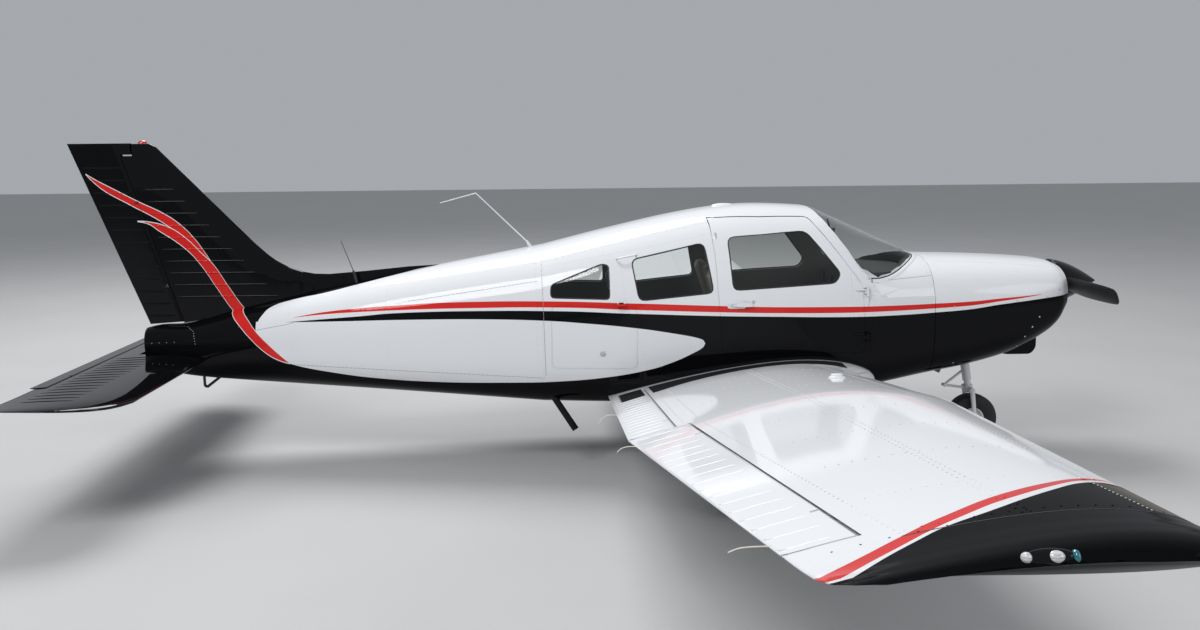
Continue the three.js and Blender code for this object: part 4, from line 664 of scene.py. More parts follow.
CABIN_ENDS, TAIL_ENDS, COWL_ENDS = (-0.360, 2.285), (-3.140, -0.3603), (2.290, 3.262)
CABIN_OUT = hull_skin(CABIN_ROWS, *CABIN_ENDS, 9, 0.0)
CABIN_IN = hull_skin(CABIN_ROWS, CABIN_ENDS[0] - 0.001, CABIN_ENDS[1] + 0.001, 9, CABIN_WALL)
DECK_OUT = hull_skin(DECK_ROWS, 1.700, 2.285, 3, 0.0)
DECK_IN = hull_skin(DECK_ROWS, 1.700, 2.286, 3, CABIN_WALL)
PANE_OUT = hull_skin(CABIN_ROWS, *CABIN_ENDS, 9, GLASS_OUTSIDE)
PANE_IN = hull_skin(CABIN_ROWS, *CABIN_ENDS, 9, GLASS_INSIDE)
CONE_OUT = hull_skin(TAIL_ROWS, *TAIL_ENDS, 7, 0.0)
CONE_IN = hull_skin(TAIL_ROWS, TAIL_ENDS[0] + CONE_WALL, -0.370, 7, CONE_WALL)
COWL_OUT = hull_skin(COWL_ROWS, *COWL_ENDS, 7, 0.0)
COWL_IN = hull_skin(COWL_ROWS, COWL_ENDS[0] - 0.001, COWL_ENDS[1] - COWL_WALL, 7, COWL_WALL)
SHIELD_OUT = Skin(2, SHIELD_HEIGHTS, SHIELD_CORNERS, shield_section(GLASS_OUTSIDE))
SHIELD_IN = Skin(2, SHIELD_HEIGHTS, SHIELD_CORNERS, shield_section(GLASS_INSIDE))
FIN_SKIN = Skin(2, [row[0] for row in FIN_ROWS], 2 * len(FIN_SHARES) - 1, fin_section)
AIRFOIL_COUNT = 2 * AIRFOIL_CORNERS - 1
WAYS = {"left": 1, "right": -1}
WING_SKINS = {side: Skin(1, [way * row[0] for row in WING_ROWS], AIRFOIL_COUNT, wing_section)
              for side, way in WAYS.items()}
TIP_SKINS = {side: Skin(1, [way * row[0] for row in TIP_ROWS], AIRFOIL_COUNT, tip_section)
             for side, way in WAYS.items()}
STABILATOR_SKIN = Skin(1, [sign * row[0] for row in STABILATOR_ROWS for sign in (-1, 1)], AIRFOIL_COUNT,
                       stabilator_section)


# Fine copies of the model's nodes

NEAR_SKIN, SAME_POINT = 0.0035, 2e-5
EDGE_ORDER = np.array([[0, 1], [1, 2], [2, 0]])


def coordinates(mesh):
    points = np.zeros(len(mesh.vertices) * 3)
    mesh.vertices.foreach_get("co", points)
    return points.reshape(-1, 3)


def evaluated_mesh(piece):
    graph = bpy.context.evaluated_depsgraph_get()
    return bpy.data.meshes.new_from_object(piece.evaluated_get(graph), depsgraph=graph)


def shade_smooth(mesh):
    mesh.polygons.foreach_set("use_smooth", np.ones(len(mesh.polygons), bool))


def merged_node(name):
    """A node's points and triangles with the doubles merged."""
    mesh = frame["nodes"][name].data
    mesh.calc_loop_triangles()
    points, corners = coordinates(mesh), np.zeros(len(mesh.loop_triangles) * 3, int)
    mesh.loop_triangles.foreach_get("vertices", corners)
    cells = np.round(points / SAME_POINT).astype(np.int64)
    _, first, inverse = np.unique(cells, axis=0, return_index=True, return_inverse=True)
    triangles = inverse.reshape(-1)[corners].reshape(-1, 3)
    real = (triangles != np.roll(triangles, -1, axis=1)).all(axis=1)
    return points[first], triangles[real]


def split_edges(points, triangles, is_long):
    """Splits every edge that is_long marks at its middle, in all the triangles that share it."""
    pairs = np.sort(triangles[:, EDGE_ORDER].reshape(-1, 2), axis=1)
    edges, which = np.unique(pairs, axis=0, return_inverse=True)
    which = which.reshape(-1, 3)
    marked = is_long(edges)
    if not marked.any():
        return points, triangles, False
    number = len(points) + np.cumsum(marked) - 1
    points = np.vstack([points, points[edges[marked]].mean(axis=1)])
    cut, middle = marked[which], number[which]
    count = cut.sum(1)
    made = [triangles[count == 0]]
    turned = {1: cut.argmax(1), 2: ((~cut).argmax(1) + 1) % 3, 3: np.zeros(len(cut), int)}
    for amount, first in turned.items():
        rows = count == amount
        order = (first[rows, None] + np.arange(3)) % 3
        a, b, c = np.take_along_axis(triangles[rows], order, 1).T
        m0, m1, m2 = np.take_along_axis(middle[rows], order, 1).T
        pieces = {1: [(a, m0, c), (m0, b, c)], 2: [(m0, b, m1), (a, m0, m1), (a, m1, c)],
                  3: [(a, m0, m2), (m0, b, m1), (m2, m1, c), (m0, m1, m2)]}[amount]
        made += [np.stack(piece, axis=1) for piece in pieces]
    return points, np.vstack(made), True


def place_on_skins(points, skins):
    """For each point, the nearest skin's number or -1, and its place on that skin."""
    found = [skin.locate(points) for skin in skins]
    gaps = np.stack([gap for _, gap, _ in found])
    owner = gaps.argmin(0)
    owner[gaps.min(0) > NEAR_SKIN] = -1
    numbers = np.choose(np.maximum(owner, 0), [number for number, _, _ in found])
    return owner, numbers, found


def refine(name, skins, corner_step=0.2, length_step=0.09, rounds=7):
    """A node's points, triangles and each triangle's skin, with the facets made smooth."""
    points, triangles = merged_node(name)
    for _ in range(rounds):
        owner, numbers, _ = place_on_skins(points, skins)

        def is_long(edges, owner=owner, numbers=numbers, points=points):
            a, b = edges.T
            same = (owner[a] == owner[b]) & (owner[a] >= 0)
            apart = np.abs(numbers[a] - numbers[b])
            for k, skin in enumerate(skins):
                if skin.closed:
                    mine = owner[a] == k
                    apart = np.where(mine, np.minimum(apart, skin.corners - apart), apart)
            axes = np.array([skin.axis for skin in skins])[np.maximum(owner[a], 0)]
            rows = np.arange(len(a))
            along = np.abs(points[a][rows, axes] - points[b][rows, axes])
            return same & ((apart > corner_step) | (along > length_step))

        points, triangles, again = split_edges(points, triangles, is_long)
        if not again:
            break
    owner, _, found = place_on_skins(points, skins)
    flat = points.copy()
    for k, skin in enumerate(skins):
        rows = np.where(owner == k)[0]
        if len(rows):
            number, _, direction = (part[rows] for part in found[k])
            points[rows] = skin.point(flat[rows, skin.axis], skin.project(flat[rows], number, direction))
    return points, triangles, owner, flat, found


def skin_normals(triangles, owner, flat, found, skins):
    """Each triangle's skin, and its corners' normals where it lies on one."""
    a, b, c = (flat[triangles[:, k]] for k in range(3))
    cross = np.cross(b - a, c - a)
    face = cross / np.maximum(np.linalg.norm(cross, axis=1), 1e-12)[:, None]
    centre = (a + b + c) / 3
    centre_owner, _, _ = place_on_skins(centre, skins)
    normals = np.zeros((len(triangles), 3, 3))
    on = np.full(len(triangles), -1)
    for k, skin in enumerate(skins):
        rows = np.where((centre_owner == k) & (owner[triangles] >= 0).all(axis=1))[0]
        if not len(rows):
            continue
        used, where = np.unique(triangles[rows], return_inverse=True)
        number, _, direction = (part[used] for part in found[k])
        smooth = skin.normal(flat[used, skin.axis], skin.project(flat[used], number, direction))
        smooth = smooth[where.reshape(-1, 3)]
        sign = np.sign((smooth * face[rows][:, None]).sum(2, keepdims=True))
        smooth = smooth * sign
        close = ((smooth * face[rows][:, None]).sum(2) > 0.80).all(axis=1)
        normals[rows[close]] = smooth[close]
        on[rows[close]] = k
    return on, normals


def new_object(name, mesh, materials, body, replaced=(), slot=None):
    piece = add_object(name, mesh)
    for material in materials:
        mesh.materials.append(material)
    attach(piece, body)
    if replaced:
        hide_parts(*replaced)
    return piece


BODY_OF = {node: body for body, nodes in frame["record"]["behaviour"]["bodies"].items() for node in nodes}
SHARP = math.radians(32)
FINE_SHAPES = {}


def fine_piece(node, skins, materials, material_of=None, **steps):
    """A smooth copy of a node that stands for it. material_of gives each triangle's material number."""
    points, triangles, owner, flat, found = refine(node, skins, **steps)
    on, normals = skin_normals(triangles, owner, flat, found, skins)
    FINE_SHAPES[node] = (points, triangles)
    mesh = bpy.data.meshes.new(f"{node}_fine")
    mesh.from_pydata(points.tolist(), [], triangles.tolist())
    shade_smooth(mesh)
    if material_of is not None:
        numbers = material_of(on, points[triangles].mean(axis=1))
        mesh.polygons.foreach_set("material_index", numbers.astype(np.int32))
    mesh.set_sharp_from_angle(angle=SHARP)
    mesh.normals_split_custom_set(normals.reshape(-1, 3).tolist())
    mesh.update()
    return new_object(f"{node}_fine", mesh, materials, BODY_OF[node], [node])


# Window edges are trimmed like the lining, above the sills and behind the door's front hinge
TRIM_REACH, SILL_Z, HINGE_X, HINGE_TOP_Z = 0.0375, 1.130, 1.700, 1.235


def inside_is_lining(skins, inner):
    """Material 1 on the skins numbered in inner, and on the windows' cut edges near them."""
    def choose(on, centre):
        near = np.min([skins[number].locate(centre)[1] for number in inner], axis=0) < TRIM_REACH
        x, z = centre[:, 0], centre[:, 2]
        window = (z > SILL_Z) & ((x < HINGE_X) | (z > HINGE_TOP_Z))
        return (np.isin(on, inner) | ((on < 0) & near & window)).astype(int)
    return choose


def inside_is_plastic(on, centre):
    return on == 1


CABIN_NODES = ("cabin_roof", "cabin_belly", "cabin_side_left", "cabin_side_right", "cabin_door",
               "baggage_door")


def make_fuselage():
    cabin_skins = [CABIN_OUT, CABIN_IN, DECK_OUT, DECK_IN]
    for node in CABIN_NODES:
        fine_piece(node, cabin_skins, [FUSELAGE, LINING], inside_is_lining(cabin_skins, [1, 3]))
    for node in ("window_rear_right", "window_aft_right", "window_front_left", "window_rear_left",
                 "window_aft_left", "door_window"):
        fine_piece(node, [PANE_OUT, PANE_IN], [GLASS])
    fine_piece("windshield", [SHIELD_OUT, SHIELD_IN], [GLASS], length_step=0.05)
    fine_piece("tail_cone", [CONE_OUT, CONE_IN], [FUSELAGE])
    for node in ("cowl_upper", "cowl_lower"):
        fine_piece(node, [COWL_OUT, COWL_IN], [FUSELAGE, PLASTIC], inside_is_plastic, length_step=0.05)


def make_wings():
    for side in ("left", "right"):
        fine_piece(f"wing_{side}", [WING_SKINS[side]], [WING_SKIN], length_step=0.25, corner_step=0.15)
        fine_piece(f"wing_tip_{side}", [TIP_SKINS[side]], [WING_SKIN], length_step=0.02, corner_step=0.15)
        for part in ("flap", "aileron"):
            fine_piece(f"{part}_{side}", [WING_SKINS[side]], [WING_SKIN], length_step=0.25)
    fine_piece("fin", [FIN_SKIN], [TAIL], length_step=0.1)
    fine_piece("rudder", [FIN_SKIN], [TAIL], length_step=0.1)
    fine_piece("stabilator", [STABILATOR_SKIN], [BLACK], length_step=0.12, corner_step=0.15)
    fine_piece("anti_servo_tab", [STABILATOR_SKIN], [BLACK], length_step=0.5)


make_fuselage()
make_wings()


# Building in mesh code

def outward(mesh):
    """Doubles merged and faces turned outwards."""
    shape = bmesh.new()
    shape.from_mesh(mesh)
    bmesh.ops.remove_doubles(shape, verts=shape.verts, dist=1e-6)
    bmesh.ops.recalc_face_normals(shape, faces=shape.faces)
    shape.to_mesh(mesh)
    shape.free()


def add_piece(name, parts, material, body, smooth_to=SHARP, bevel=0.0, **kept):
    """One piece from parts (points, faces), which rides a body."""
    points, faces = [], []
    for corners, sides in parts:
        faces += [tuple(int(k) + len(points) for k in side) for side in sides]
        points += np.asarray(corners, float).tolist()
    mesh = bpy.data.meshes.new(name)
    mesh.from_pydata(points, [], faces)
    outward(mesh)
    shade_smooth(mesh)
    mesh.set_sharp_from_angle(angle=smooth_to)
    piece = new_object(name, mesh, [material], body, **kept)
    if bevel:
        rounding = piece.modifiers.new("edges", "BEVEL")
        rounding.width, rounding.segments, rounding.angle_limit = bevel, 2, math.radians(40)
    return piece


def ring_faces(rings, count):
    """Faces between closed rings of corners, one after the other."""
    return [(start + j, start + (j + 1) % count, start + count + (j + 1) % count, start + count + j)
            for start in range(0, (rings - 1) * count, count) for j in range(count)]


def ring_ends(rings, count):
    return [tuple(range(count)), tuple((rings - 1) * count + j for j in range(count))]


def unit(vectors):
    return vectors / np.maximum(np.linalg.norm(vectors, axis=-1, keepdims=True), 1e-12)


def sweep(path, facing, outline, closed=False, scale=None):
    """A bar along a path. The outline's columns are across and outward along facing."""
    path, outline = np.asarray(path, float), np.asarray(outline, float)
    facing = np.broadcast_to(np.asarray(facing, float), path.shape)
    ahead = np.roll(path, -1, 0) - np.roll(path, 1, 0)
    if not closed:
        ahead[0], ahead[-1] = path[1] - path[0], path[-1] - path[-2]
    ahead = unit(ahead)
    facing = unit(facing - (facing * ahead).sum(1, keepdims=True) * ahead)
    across = np.cross(ahead, facing)
    size = np.ones(len(path)) if scale is None else np.asarray(scale, float)
    points = (path[:, None] + across[:, None] * outline[None, :, :1] * size[:, None, None]
              + facing[:, None] * outline[None, :, 1:] * size[:, None, None]).reshape(-1, 3)
    rings, count = len(path), len(outline)
    faces = ring_faces(rings, count)
    if closed:
        last = (rings - 1) * count
        return points, faces + [(last + j, last + (j + 1) % count, (j + 1) % count, j) for j in range(count)]
    return points, faces + ring_ends(rings, count)


def round_outline(radius, sides=12, flat=1.0):
    turn = np.linspace(0, 2 * np.pi, sides, endpoint=False)
    return np.stack([radius * np.cos(turn), radius * flat * np.sin(turn)], axis=1)


def rod(path, radius, facing=(0, 0, 1), sides=12, flat=1.0, scale=None):
    return sweep(path, facing, round_outline(radius, sides, flat), scale=scale)


def turned(profile, centre, axis, sides=48):
    """A turned body. The profile's columns are along the axis and the radius."""
    axis = unit(np.asarray(axis, float))
    first = unit(np.cross(axis, (0, 0, 1) if abs(axis[2]) < 0.9 else (1, 0, 0)))
    second = np.cross(axis, first)
    turn = np.linspace(0, 2 * np.pi, sides, endpoint=False)
    ring = np.cos(turn)[:, None] * first + np.sin(turn)[:, None] * second
    points = np.concatenate([np.asarray(centre) + along * axis + radius * ring for along, radius in profile])
    return points, ring_faces(len(profile), sides) + ring_ends(len(profile), sides)


def turned_ring(profile, centre, axis, sides=64):
    """A turned ring with a closed profile."""
    points, faces = turned([*profile, profile[0]], centre, axis, sides)
    return points, faces[:-2]


def block(low, high):
    (x0, y0, z0), (x1, y1, z1) = low, high
    points = [(x, y, z) for z in (z0, z1) for x, y in ((x0, y0), (x1, y0), (x1, y1), (x0, y1))]
    return points, [(3, 2, 1, 0), (4, 5, 6, 7)] + [(k, (k + 1) % 4, (k + 1) % 4 + 4, k + 4) for k in range(4)]


def dome(centre, axis, radius, height, sides=24, steps=6):
    """A closed dome on a flat base."""
    rise = np.linspace(0, np.pi / 2, steps + 1)
    profile = [(height * np.sin(a), radius * max(np.cos(a), 0.02)) for a in rise]
    return turned(profile, centre, axis, sides)


class Seat:
    """Finished skins at rest, for setting details on them."""

    def __init__(self, *nodes):
        points, triangles, count = [], [], 0
        for node in nodes:
            corners, faces = FINE_SHAPES[node]
            points.append(corners)
            triangles.append(faces + count)
            count += len(corners)
        self.tree = BVHTree.FromPolygons(np.vstack(points).tolist(), np.vstack(triangles).tolist())

    def hits(self, places, way):
        """Where lines through places along way first meet the skins, and the outward normals there."""
        way = Vector(way)
        points, normals = [], []
        for place in places:
            point, normal, _, _ = self.tree.ray_cast(Vector(place) - way * 10, way)
            if point is not None:
                points.append(point)
                normals.append(-normal if normal.dot(way) > 0 else normal)
        return np.array(points), np.array(normals)

    def side(self, places, side=-1):
        """Places x and z, seen from the side."""
        return self.hits([(x, 0, z) for x, z in places], (0, -side, 0))

    def top(self, places, above=True):
        """Places x and y, seen from above or below."""
        return self.hits([(x, y, 0) for x, y in places], (0, 0, -1 if above else 1))


def spaced(path, pitch):
    """Points a pitch apart along a path of straight lines."""
    path = np.asarray(path, float)
    along = np.concatenate([[0], np.cumsum(np.linalg.norm(np.diff(path, axis=0), axis=1))])
    count = max(1, round(along[-1] / pitch))
    place = np.linspace(0, along[-1], count + 1)
    return np.stack([np.interp(place, along, column) for column in path.T], axis=1)


CORNER_STEPS = 6


def rounded(corners, radius, closed=True):
    """An outline with a curve at each corner."""
    corners = np.asarray(corners, float)
    radius = np.broadcast_to(radius, len(corners))
    result = []
    for k, here in enumerate(corners):
        if not closed and k in (0, len(corners) - 1):
            result.append(here)
            continue
        before, after = corners[k - 1] - here, corners[(k + 1) % len(corners)] - here
        reach = min(radius[k], np.linalg.norm(before) * 0.45, np.linalg.norm(after) * 0.45)
        start, stop = here + unit(before) * reach, here + unit(after) * reach
        t = np.linspace(0, 1, CORNER_STEPS + 1)[:, None]
        result += list((1 - t) ** 2 * start + 2 * t * (1 - t) * here + t ** 2 * stop)
    return np.array(result)


class Tree:
    """A Geometry Nodes tree, built node by node."""

    def __init__(self, name, inputs):
        self.group = bpy.data.node_groups.new(name, "GeometryNodeTree")
        sockets = self.group.interface
        sockets.new_socket("Geometry", in_out="INPUT", socket_type="NodeSocketGeometry")
        self.ids = {}
        for label, kind, value in inputs:
            socket = sockets.new_socket(label, in_out="INPUT", socket_type=f"NodeSocket{kind}")
            socket.default_value = value
            self.ids[label] = socket.identifier
        self.ids["Material"] = sockets.new_socket(
            "Material", in_out="INPUT", socket_type="NodeSocketMaterial").identifier
        sockets.new_socket("Geometry", in_out="OUTPUT", socket_type="NodeSocketGeometry")
        self.given = self.group.nodes.new("NodeGroupInput").outputs
        self.result = self.group.nodes.new("NodeGroupOutput").inputs

    def node(self, kind, settings, values, out=0):
        """A node's output: its settings come first, then the values or links of its sockets."""
        made = self.group.nodes.new(kind)
        for name, value in settings.items():
            setattr(made, name, value)
        for key, value in values.items():
            if isinstance(value, bpy.types.NodeSocket):
                self.group.links.new(value, made.inputs[key])
            else:
                made.inputs[key].default_value = value
        return made.outputs[out]

    def finish(self, geometry):
        smooth = self.node("GeometryNodeSetShadeSmooth", {}, {"Geometry": geometry})
        whole = self.node("GeometryNodeRealizeInstances", {}, {"Geometry": smooth})
        dressed = self.node("GeometryNodeSetMaterial", {}, {
            "Geometry": whole, "Material": self.given["Material"]})
        self.group.links.new(dressed, self.result["Geometry"])
        return self

    def make(self, name, carrier_mesh, body, **inputs):
        """A plain mesh piece that the tree makes on a mesh of places."""
        piece = add_object(name, carrier_mesh)
        modifier = piece.modifiers.new("shape", "NODES")
        modifier.node_group = self.group
        for label, value in inputs.items():
            modifier[self.ids[label.replace("_", " ")]] = value
        plain = evaluated_mesh(piece)
        piece.modifiers.remove(modifier)
        piece.data = plain
        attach(piece, body)
        return piece


def rivet_tree():
    """A low head on each point, turned to the point's facing."""
    tree = Tree("rivet_heads", [
        ("Foot", "Float", 0.0036), ("Crown", "Float", 0.0018), ("Height", "Float", 0.0014),
        ("Sides", "Int", 8)])
    given = tree.given
    head = tree.node("GeometryNodeMeshCone", {"fill_type": "NGON"}, {
        "Vertices": given["Sides"], "Radius Top": given["Crown"], "Radius Bottom": given["Foot"],
        "Depth": given["Height"]})
    facing = tree.node("GeometryNodeInputNamedAttribute", {"data_type": "FLOAT_VECTOR"}, {"Name": "facing"})
    turn = tree.node("FunctionNodeAlignRotationToVector", {"axis": "Z"}, {"Vector": facing})
    return tree.finish(tree.node("GeometryNodeInstanceOnPoints", {}, {
        "Points": given["Geometry"], "Instance": head, "Rotation": turn}))


def bead_tree():
    """A round ridge along each line, as wide as the line's points say."""
    tree = Tree("pressed_beads", [("Sides", "Int", 8)])
    line = tree.node("GeometryNodeMeshToCurve", {}, {"Mesh": tree.given["Geometry"]})
    wide = tree.node("GeometryNodeInputNamedAttribute", {"data_type": "FLOAT"}, {"Name": "wide"})
    ring = tree.node("GeometryNodeCurvePrimitiveCircle", {}, {
        "Resolution": tree.given["Sides"], "Radius": 1.0})
    return tree.finish(tree.node("GeometryNodeCurveToMesh", {}, {
        "Curve": line, "Profile Curve": ring, "Scale": wide, "Fill Caps": True}))


RIVETS, BEADS = rivet_tree(), bead_tree()
RIVET_SINK = 0.0003


def add_rivets(name, spots, material, body, foot=0.0036, height=0.0016):
    """Rivets at spots, which are pairs of points and normals."""
    points = np.vstack([found for found, _ in spots if len(found)])
    normals = np.vstack([found for _, found in spots if len(found)])
    mesh = bpy.data.meshes.new(name)
    mesh.from_pydata((points - normals * RIVET_SINK).tolist(), [], [])
    mesh.attributes.new("facing", "FLOAT_VECTOR", "POINT").data.foreach_set("vector", normals.reshape(-1))
    return RIVETS.make(name, mesh, body, Foot=foot, Crown=foot * 0.55, Height=height, Material=material)


def add_beads(name, lines, material, body, radius=0.007, proud=0.0032):
    """Beads along lines, which are pairs of points and normals. They taper away at both ends."""
    points, edges, wide = [], [], []
    for path, normals in lines:
        if len(path) < 4:
            continue
        edges += [(len(points) + k, len(points) + k + 1) for k in range(len(path) - 1)]
        taper = np.sin(np.pi * np.linspace(0.02, 0.98, len(path))) ** 0.35
        width = radius * (0.35 + 0.65 * taper)
        points += list(path - normals * (width - proud * taper)[:, None])
        wide += list(width)
    mesh = bpy.data.meshes.new(name)
    mesh.from_pydata(points, edges, [])
    mesh.attributes.new("wide", "FLOAT", "POINT").data.foreach_set("value", wide)
    return BEADS.make(name, mesh, body, Material=material)


# Beads pressed into the tail skins. Columns: lowest and highest z, front x and rear x at each, how many
FIN_BEADS = (1.142, 1.892, (-2.215, -2.905), (-2.905, -3.135), 10)
RUDDER_BEADS = (1.010, 2.045, (-2.930, -3.262), (-3.130, -3.535), 13)
STABILATOR_BEADS = (0.230, 1.560, 17)
STABILATOR_BEAD_X = (-2.990, -3.285)


def tail_beads():
    for node, (z0, z1, front, rear, count) in (("fin", FIN_BEADS), ("rudder", RUDDER_BEADS)):
        skins, lines = Seat(node), []
        for share in np.linspace(0, 1, count):
            z = z0 + share * (z1 - z0)
            start, stop = (low + share * (high - low) for low, high in (front, rear))
            path = [(x, z) for x in np.linspace(start, stop, 14)]
            lines += [skins.side(path, side) for side in (-1, 1)]
        add_beads(f"{node}_beads", lines, TAIL, BODY_OF[node], radius=0.0075, proud=0.0036)
    skins, lines = Seat("stabilator"), []
    y0, y1, count = STABILATOR_BEADS
    for y in np.linspace(y0, y1, count):
        for side in (-1, 1):
            path = [(x, side * y) for x in np.linspace(*STABILATOR_BEAD_X, 10)]
            lines += [skins.top(path, above) for above in (True, False)]
    add_beads("stabilator_beads", lines, BLACK, "stabilator", radius=0.007, proud=0.0032)


# Beads on the flaps and ailerons. Columns: part, first and last y, pitch, front x at each, rear x at each
WING_BEADS = [("flap", 0.700, 2.600, 0.105, (0.268, 0.268), (0.098, 0.098)),
              ("aileron", 2.735, 4.860, 0.125, (0.335, 0.500), (0.108, 0.345))]


def wing_beads():
    for side, way in WAYS.items():
        for part, y0, y1, pitch, front, rear in WING_BEADS:
            skins, lines = Seat(f"{part}_{side}"), []
            for y in np.arange(y0, y1, pitch):
                share = (y - y0) / (y1 - y0)
                start, stop = (near + share * (far - near) for near, far in (front, rear))
                path = [(x, way * y) for x in np.linspace(start, stop, 9)]
                lines += [skins.top(path, above) for above in (True, False)]
            add_beads(f"{part}_{side}_beads", lines, WING_SKIN, f"{part}_{side}", radius=0.008, proud=0.0017)


# Rivet rows on the wings, above and below. Columns: path in x and y, pitch
WING_ROWS_OF_RIVETS = [
    ([(0.955, 0.96), (0.945, 2.69), (0.985, 4.97)], 0.040),
    ([(0.930, 0.96), (0.920, 2.69), (0.962, 4.97)], 0.040),
    ([(1.420, 0.90), (1.400, 2.69), (1.350, 4.60)], 0.038),
    ([(0.420, 1.08), (0.420, 2.69), (0.640, 4.97)], 0.038),
    ([(0.345, 1.08), (0.345, 2.60)], 0.045),
]
DARK_TIP_FROM = 4.56
WING_RIBS = (1.20, 1.66, 2.12, 2.60, 3.10, 3.60, 4.10, 4.58, 4.95)


def wing_rivets():
    for side, way in WAYS.items():
        skins, spots = Seat(f"wing_{side}"), []
        for path, pitch in WING_ROWS_OF_RIVETS:
            places = [(x, way * y) for x, y in spaced(path, pitch)]
            spots += [skins.top(places), skins.top(places, above=False)]
        for y in WING_RIBS:
            places = [(x, way * y) for x in np.arange(0.50 if y < 2.7 else 0.66, 1.36, 0.046)]
            spots += [skins.top(places), skins.top(places, above=False)]
        inboard, outboard = [], []
        for found, facing in spots:
            dark = np.abs(found[:, 1]) >= DARK_TIP_FROM
            inboard.append((found[~dark], facing[~dark]))
            outboard.append((found[dark], facing[dark]))
        # The grey of the inboard heads is painted shade
        add_rivets(f"wing_{side}_rivets", inboard, RIVET_SHADE_GREY, "airframe", foot=0.0042, height=0.0018)
        add_rivets(f"wing_{side}_outer_rivets", outboard, WING_SKIN, "airframe", foot=0.0042, height=0.0018)
        tip = Seat(f"wing_tip_{side}", f"wing_{side}")
        places = [(x, way * 4.985) for x in np.arange(0.46, 1.36, 0.075)]
        spots = [tip.top(places), tip.top(places, above=False)]
        add_rivets(f"wing_tip_{side}_screws", spots, BLACK, "airframe", foot=0.0042, height=0.0016)


# Rivet rows on the fuselage: path in x and z, pitch
SIDE_ROWS = [
    ([(-0.345, 0.62), (-0.352, 1.15), (-0.368, 1.40)], 0.032),
    ([(-0.385, 0.62), (-0.392, 1.15), (-0.405, 1.38)], 0.032),
    ([(-2.060, 0.985), (-1.274, 1.130), (-0.388, 1.269)], 0.030), ([(-2.070, 0.696), (-0.360, 0.622)], 0.030),
    ([(-1.40, 0.56), (-1.42, 1.20)], 0.036), ([(-2.05, 0.66), (-2.10, 1.08)], 0.034),
    ([(-0.30, 1.118), (0.090, 1.118), (0.100, 1.36)], 0.045),
    ([(0.168, 1.40), (0.200, 1.10), (0.330, 0.72)], 0.030),
    ([(0.33, 0.66), (0.80, 0.66)], 0.034), ([(0.290, 1.080), (0.800, 1.080)], 0.045),
    ([(1.860, 1.240), (2.270, 1.280)], 0.024), ([(1.86, 1.22), (1.84, 0.90), (1.82, 0.66)], 0.032),
    ([(2.255, 1.36), (2.262, 1.10), (2.255, 0.72)], 0.034), ([(1.90, 0.90), (2.24, 0.90)], 0.034),
    ([(1.82, 1.245), (1.60, 1.555), (1.50, 1.690)], 0.030),
    ([(1.86, 1.262), (1.64, 1.570), (1.56, 1.680)], 0.030),
    ([(0.72, 1.640), (0.70, 1.30)], 0.034), ([(-0.26, 1.412), (0.30, 1.555), (0.68, 1.630)], 0.040),
    ([(-2.30, 0.78), (-2.96, 0.78)], 0.026), ([(-2.34, 0.70), (-2.34, 0.90)], 0.03),
]
TAIL_END_ROWS = [([(-2.834, 0.940), (-2.782, 0.909), (-2.766, 0.829)], 0.018),
                 ([(-3.084, 0.826), (-2.919, 0.838)], 0.055)]
FIN_ROWS_OF_RIVETS = [([(-2.95, 1.02), (-3.165, 2.15)], 0.040),
                      ([(-2.20, 1.08), (-2.93, 1.92), (-3.08, 2.12)], 0.045),
                      ([(-1.20, 1.335), (-2.10, 1.200), (-2.88, 1.02)], 0.040)]
ROOF_ROW_Y = 0.215
SIDE_NODES = ("cabin_roof", "cabin_side_left", "cabin_side_right", "tail_cone", "cabin_belly")


def fuselage_rivets():
    skins = Seat(*SIDE_NODES)
    spots = [skins.side(spaced(path, pitch), side) for path, pitch in SIDE_ROWS for side in (-1, 1)]
    add_rivets("fuselage_rivets", spots, FUSELAGE, "airframe", foot=0.0044, height=0.0022)
    bright = [skins.side(spaced(path, pitch), side) for path, pitch in TAIL_END_ROWS for side in (-1, 1)]
    add_rivets("tail_end_screws", bright, BRIGHT, "airframe", foot=0.0042, height=0.0018)
    roof = [skins.top([(x, side * ROOF_ROW_Y) for x in np.arange(-0.30, 1.40, 0.05)]) for side in (-1, 1)]
    add_rivets("roof_rivets", roof, FUSELAGE, "airframe", foot=0.0032, height=0.0012)
    fin = Seat("fin")
    spots = [fin.side(spaced(path, pitch), side) for side in (-1, 1) for path, pitch in FIN_ROWS_OF_RIVETS]
    add_rivets("fin_rivets", spots, TAIL, "airframe", foot=0.0034, height=0.0012)


# Window outlines seen from the side: corners in x and z, and the corners' radius
FRONT_PANE = ([(0.905, 1.200), (0.874, 1.554), (1.408, 1.594), (1.632, 1.306), (1.592, 1.240)], 0.048)
REAR_PANE = ([(0.282, 1.136), (0.232, 1.410), (0.722, 1.520), (0.784, 1.186)], 0.048)
AFT_PANE = ([(-0.304, 1.158), (-0.304, 1.246), (0.042, 1.384), (0.090, 1.372), (0.094, 1.148)], 0.030)
# Columns: node, outline, side
PANES = [("door_window", FRONT_PANE, -1), ("window_rear_right", REAR_PANE, -1),
         ("window_aft_right", AFT_PANE, -1), ("window_front_left", FRONT_PANE, 1),
         ("window_rear_left", REAR_PANE, 1), ("window_aft_left", AFT_PANE, 1)]
SEAL_OUTLINE = [(-0.006, -0.002), (-0.005, 0.0022), (0.0, 0.0034), (0.005, 0.0022), (0.006, -0.002)]


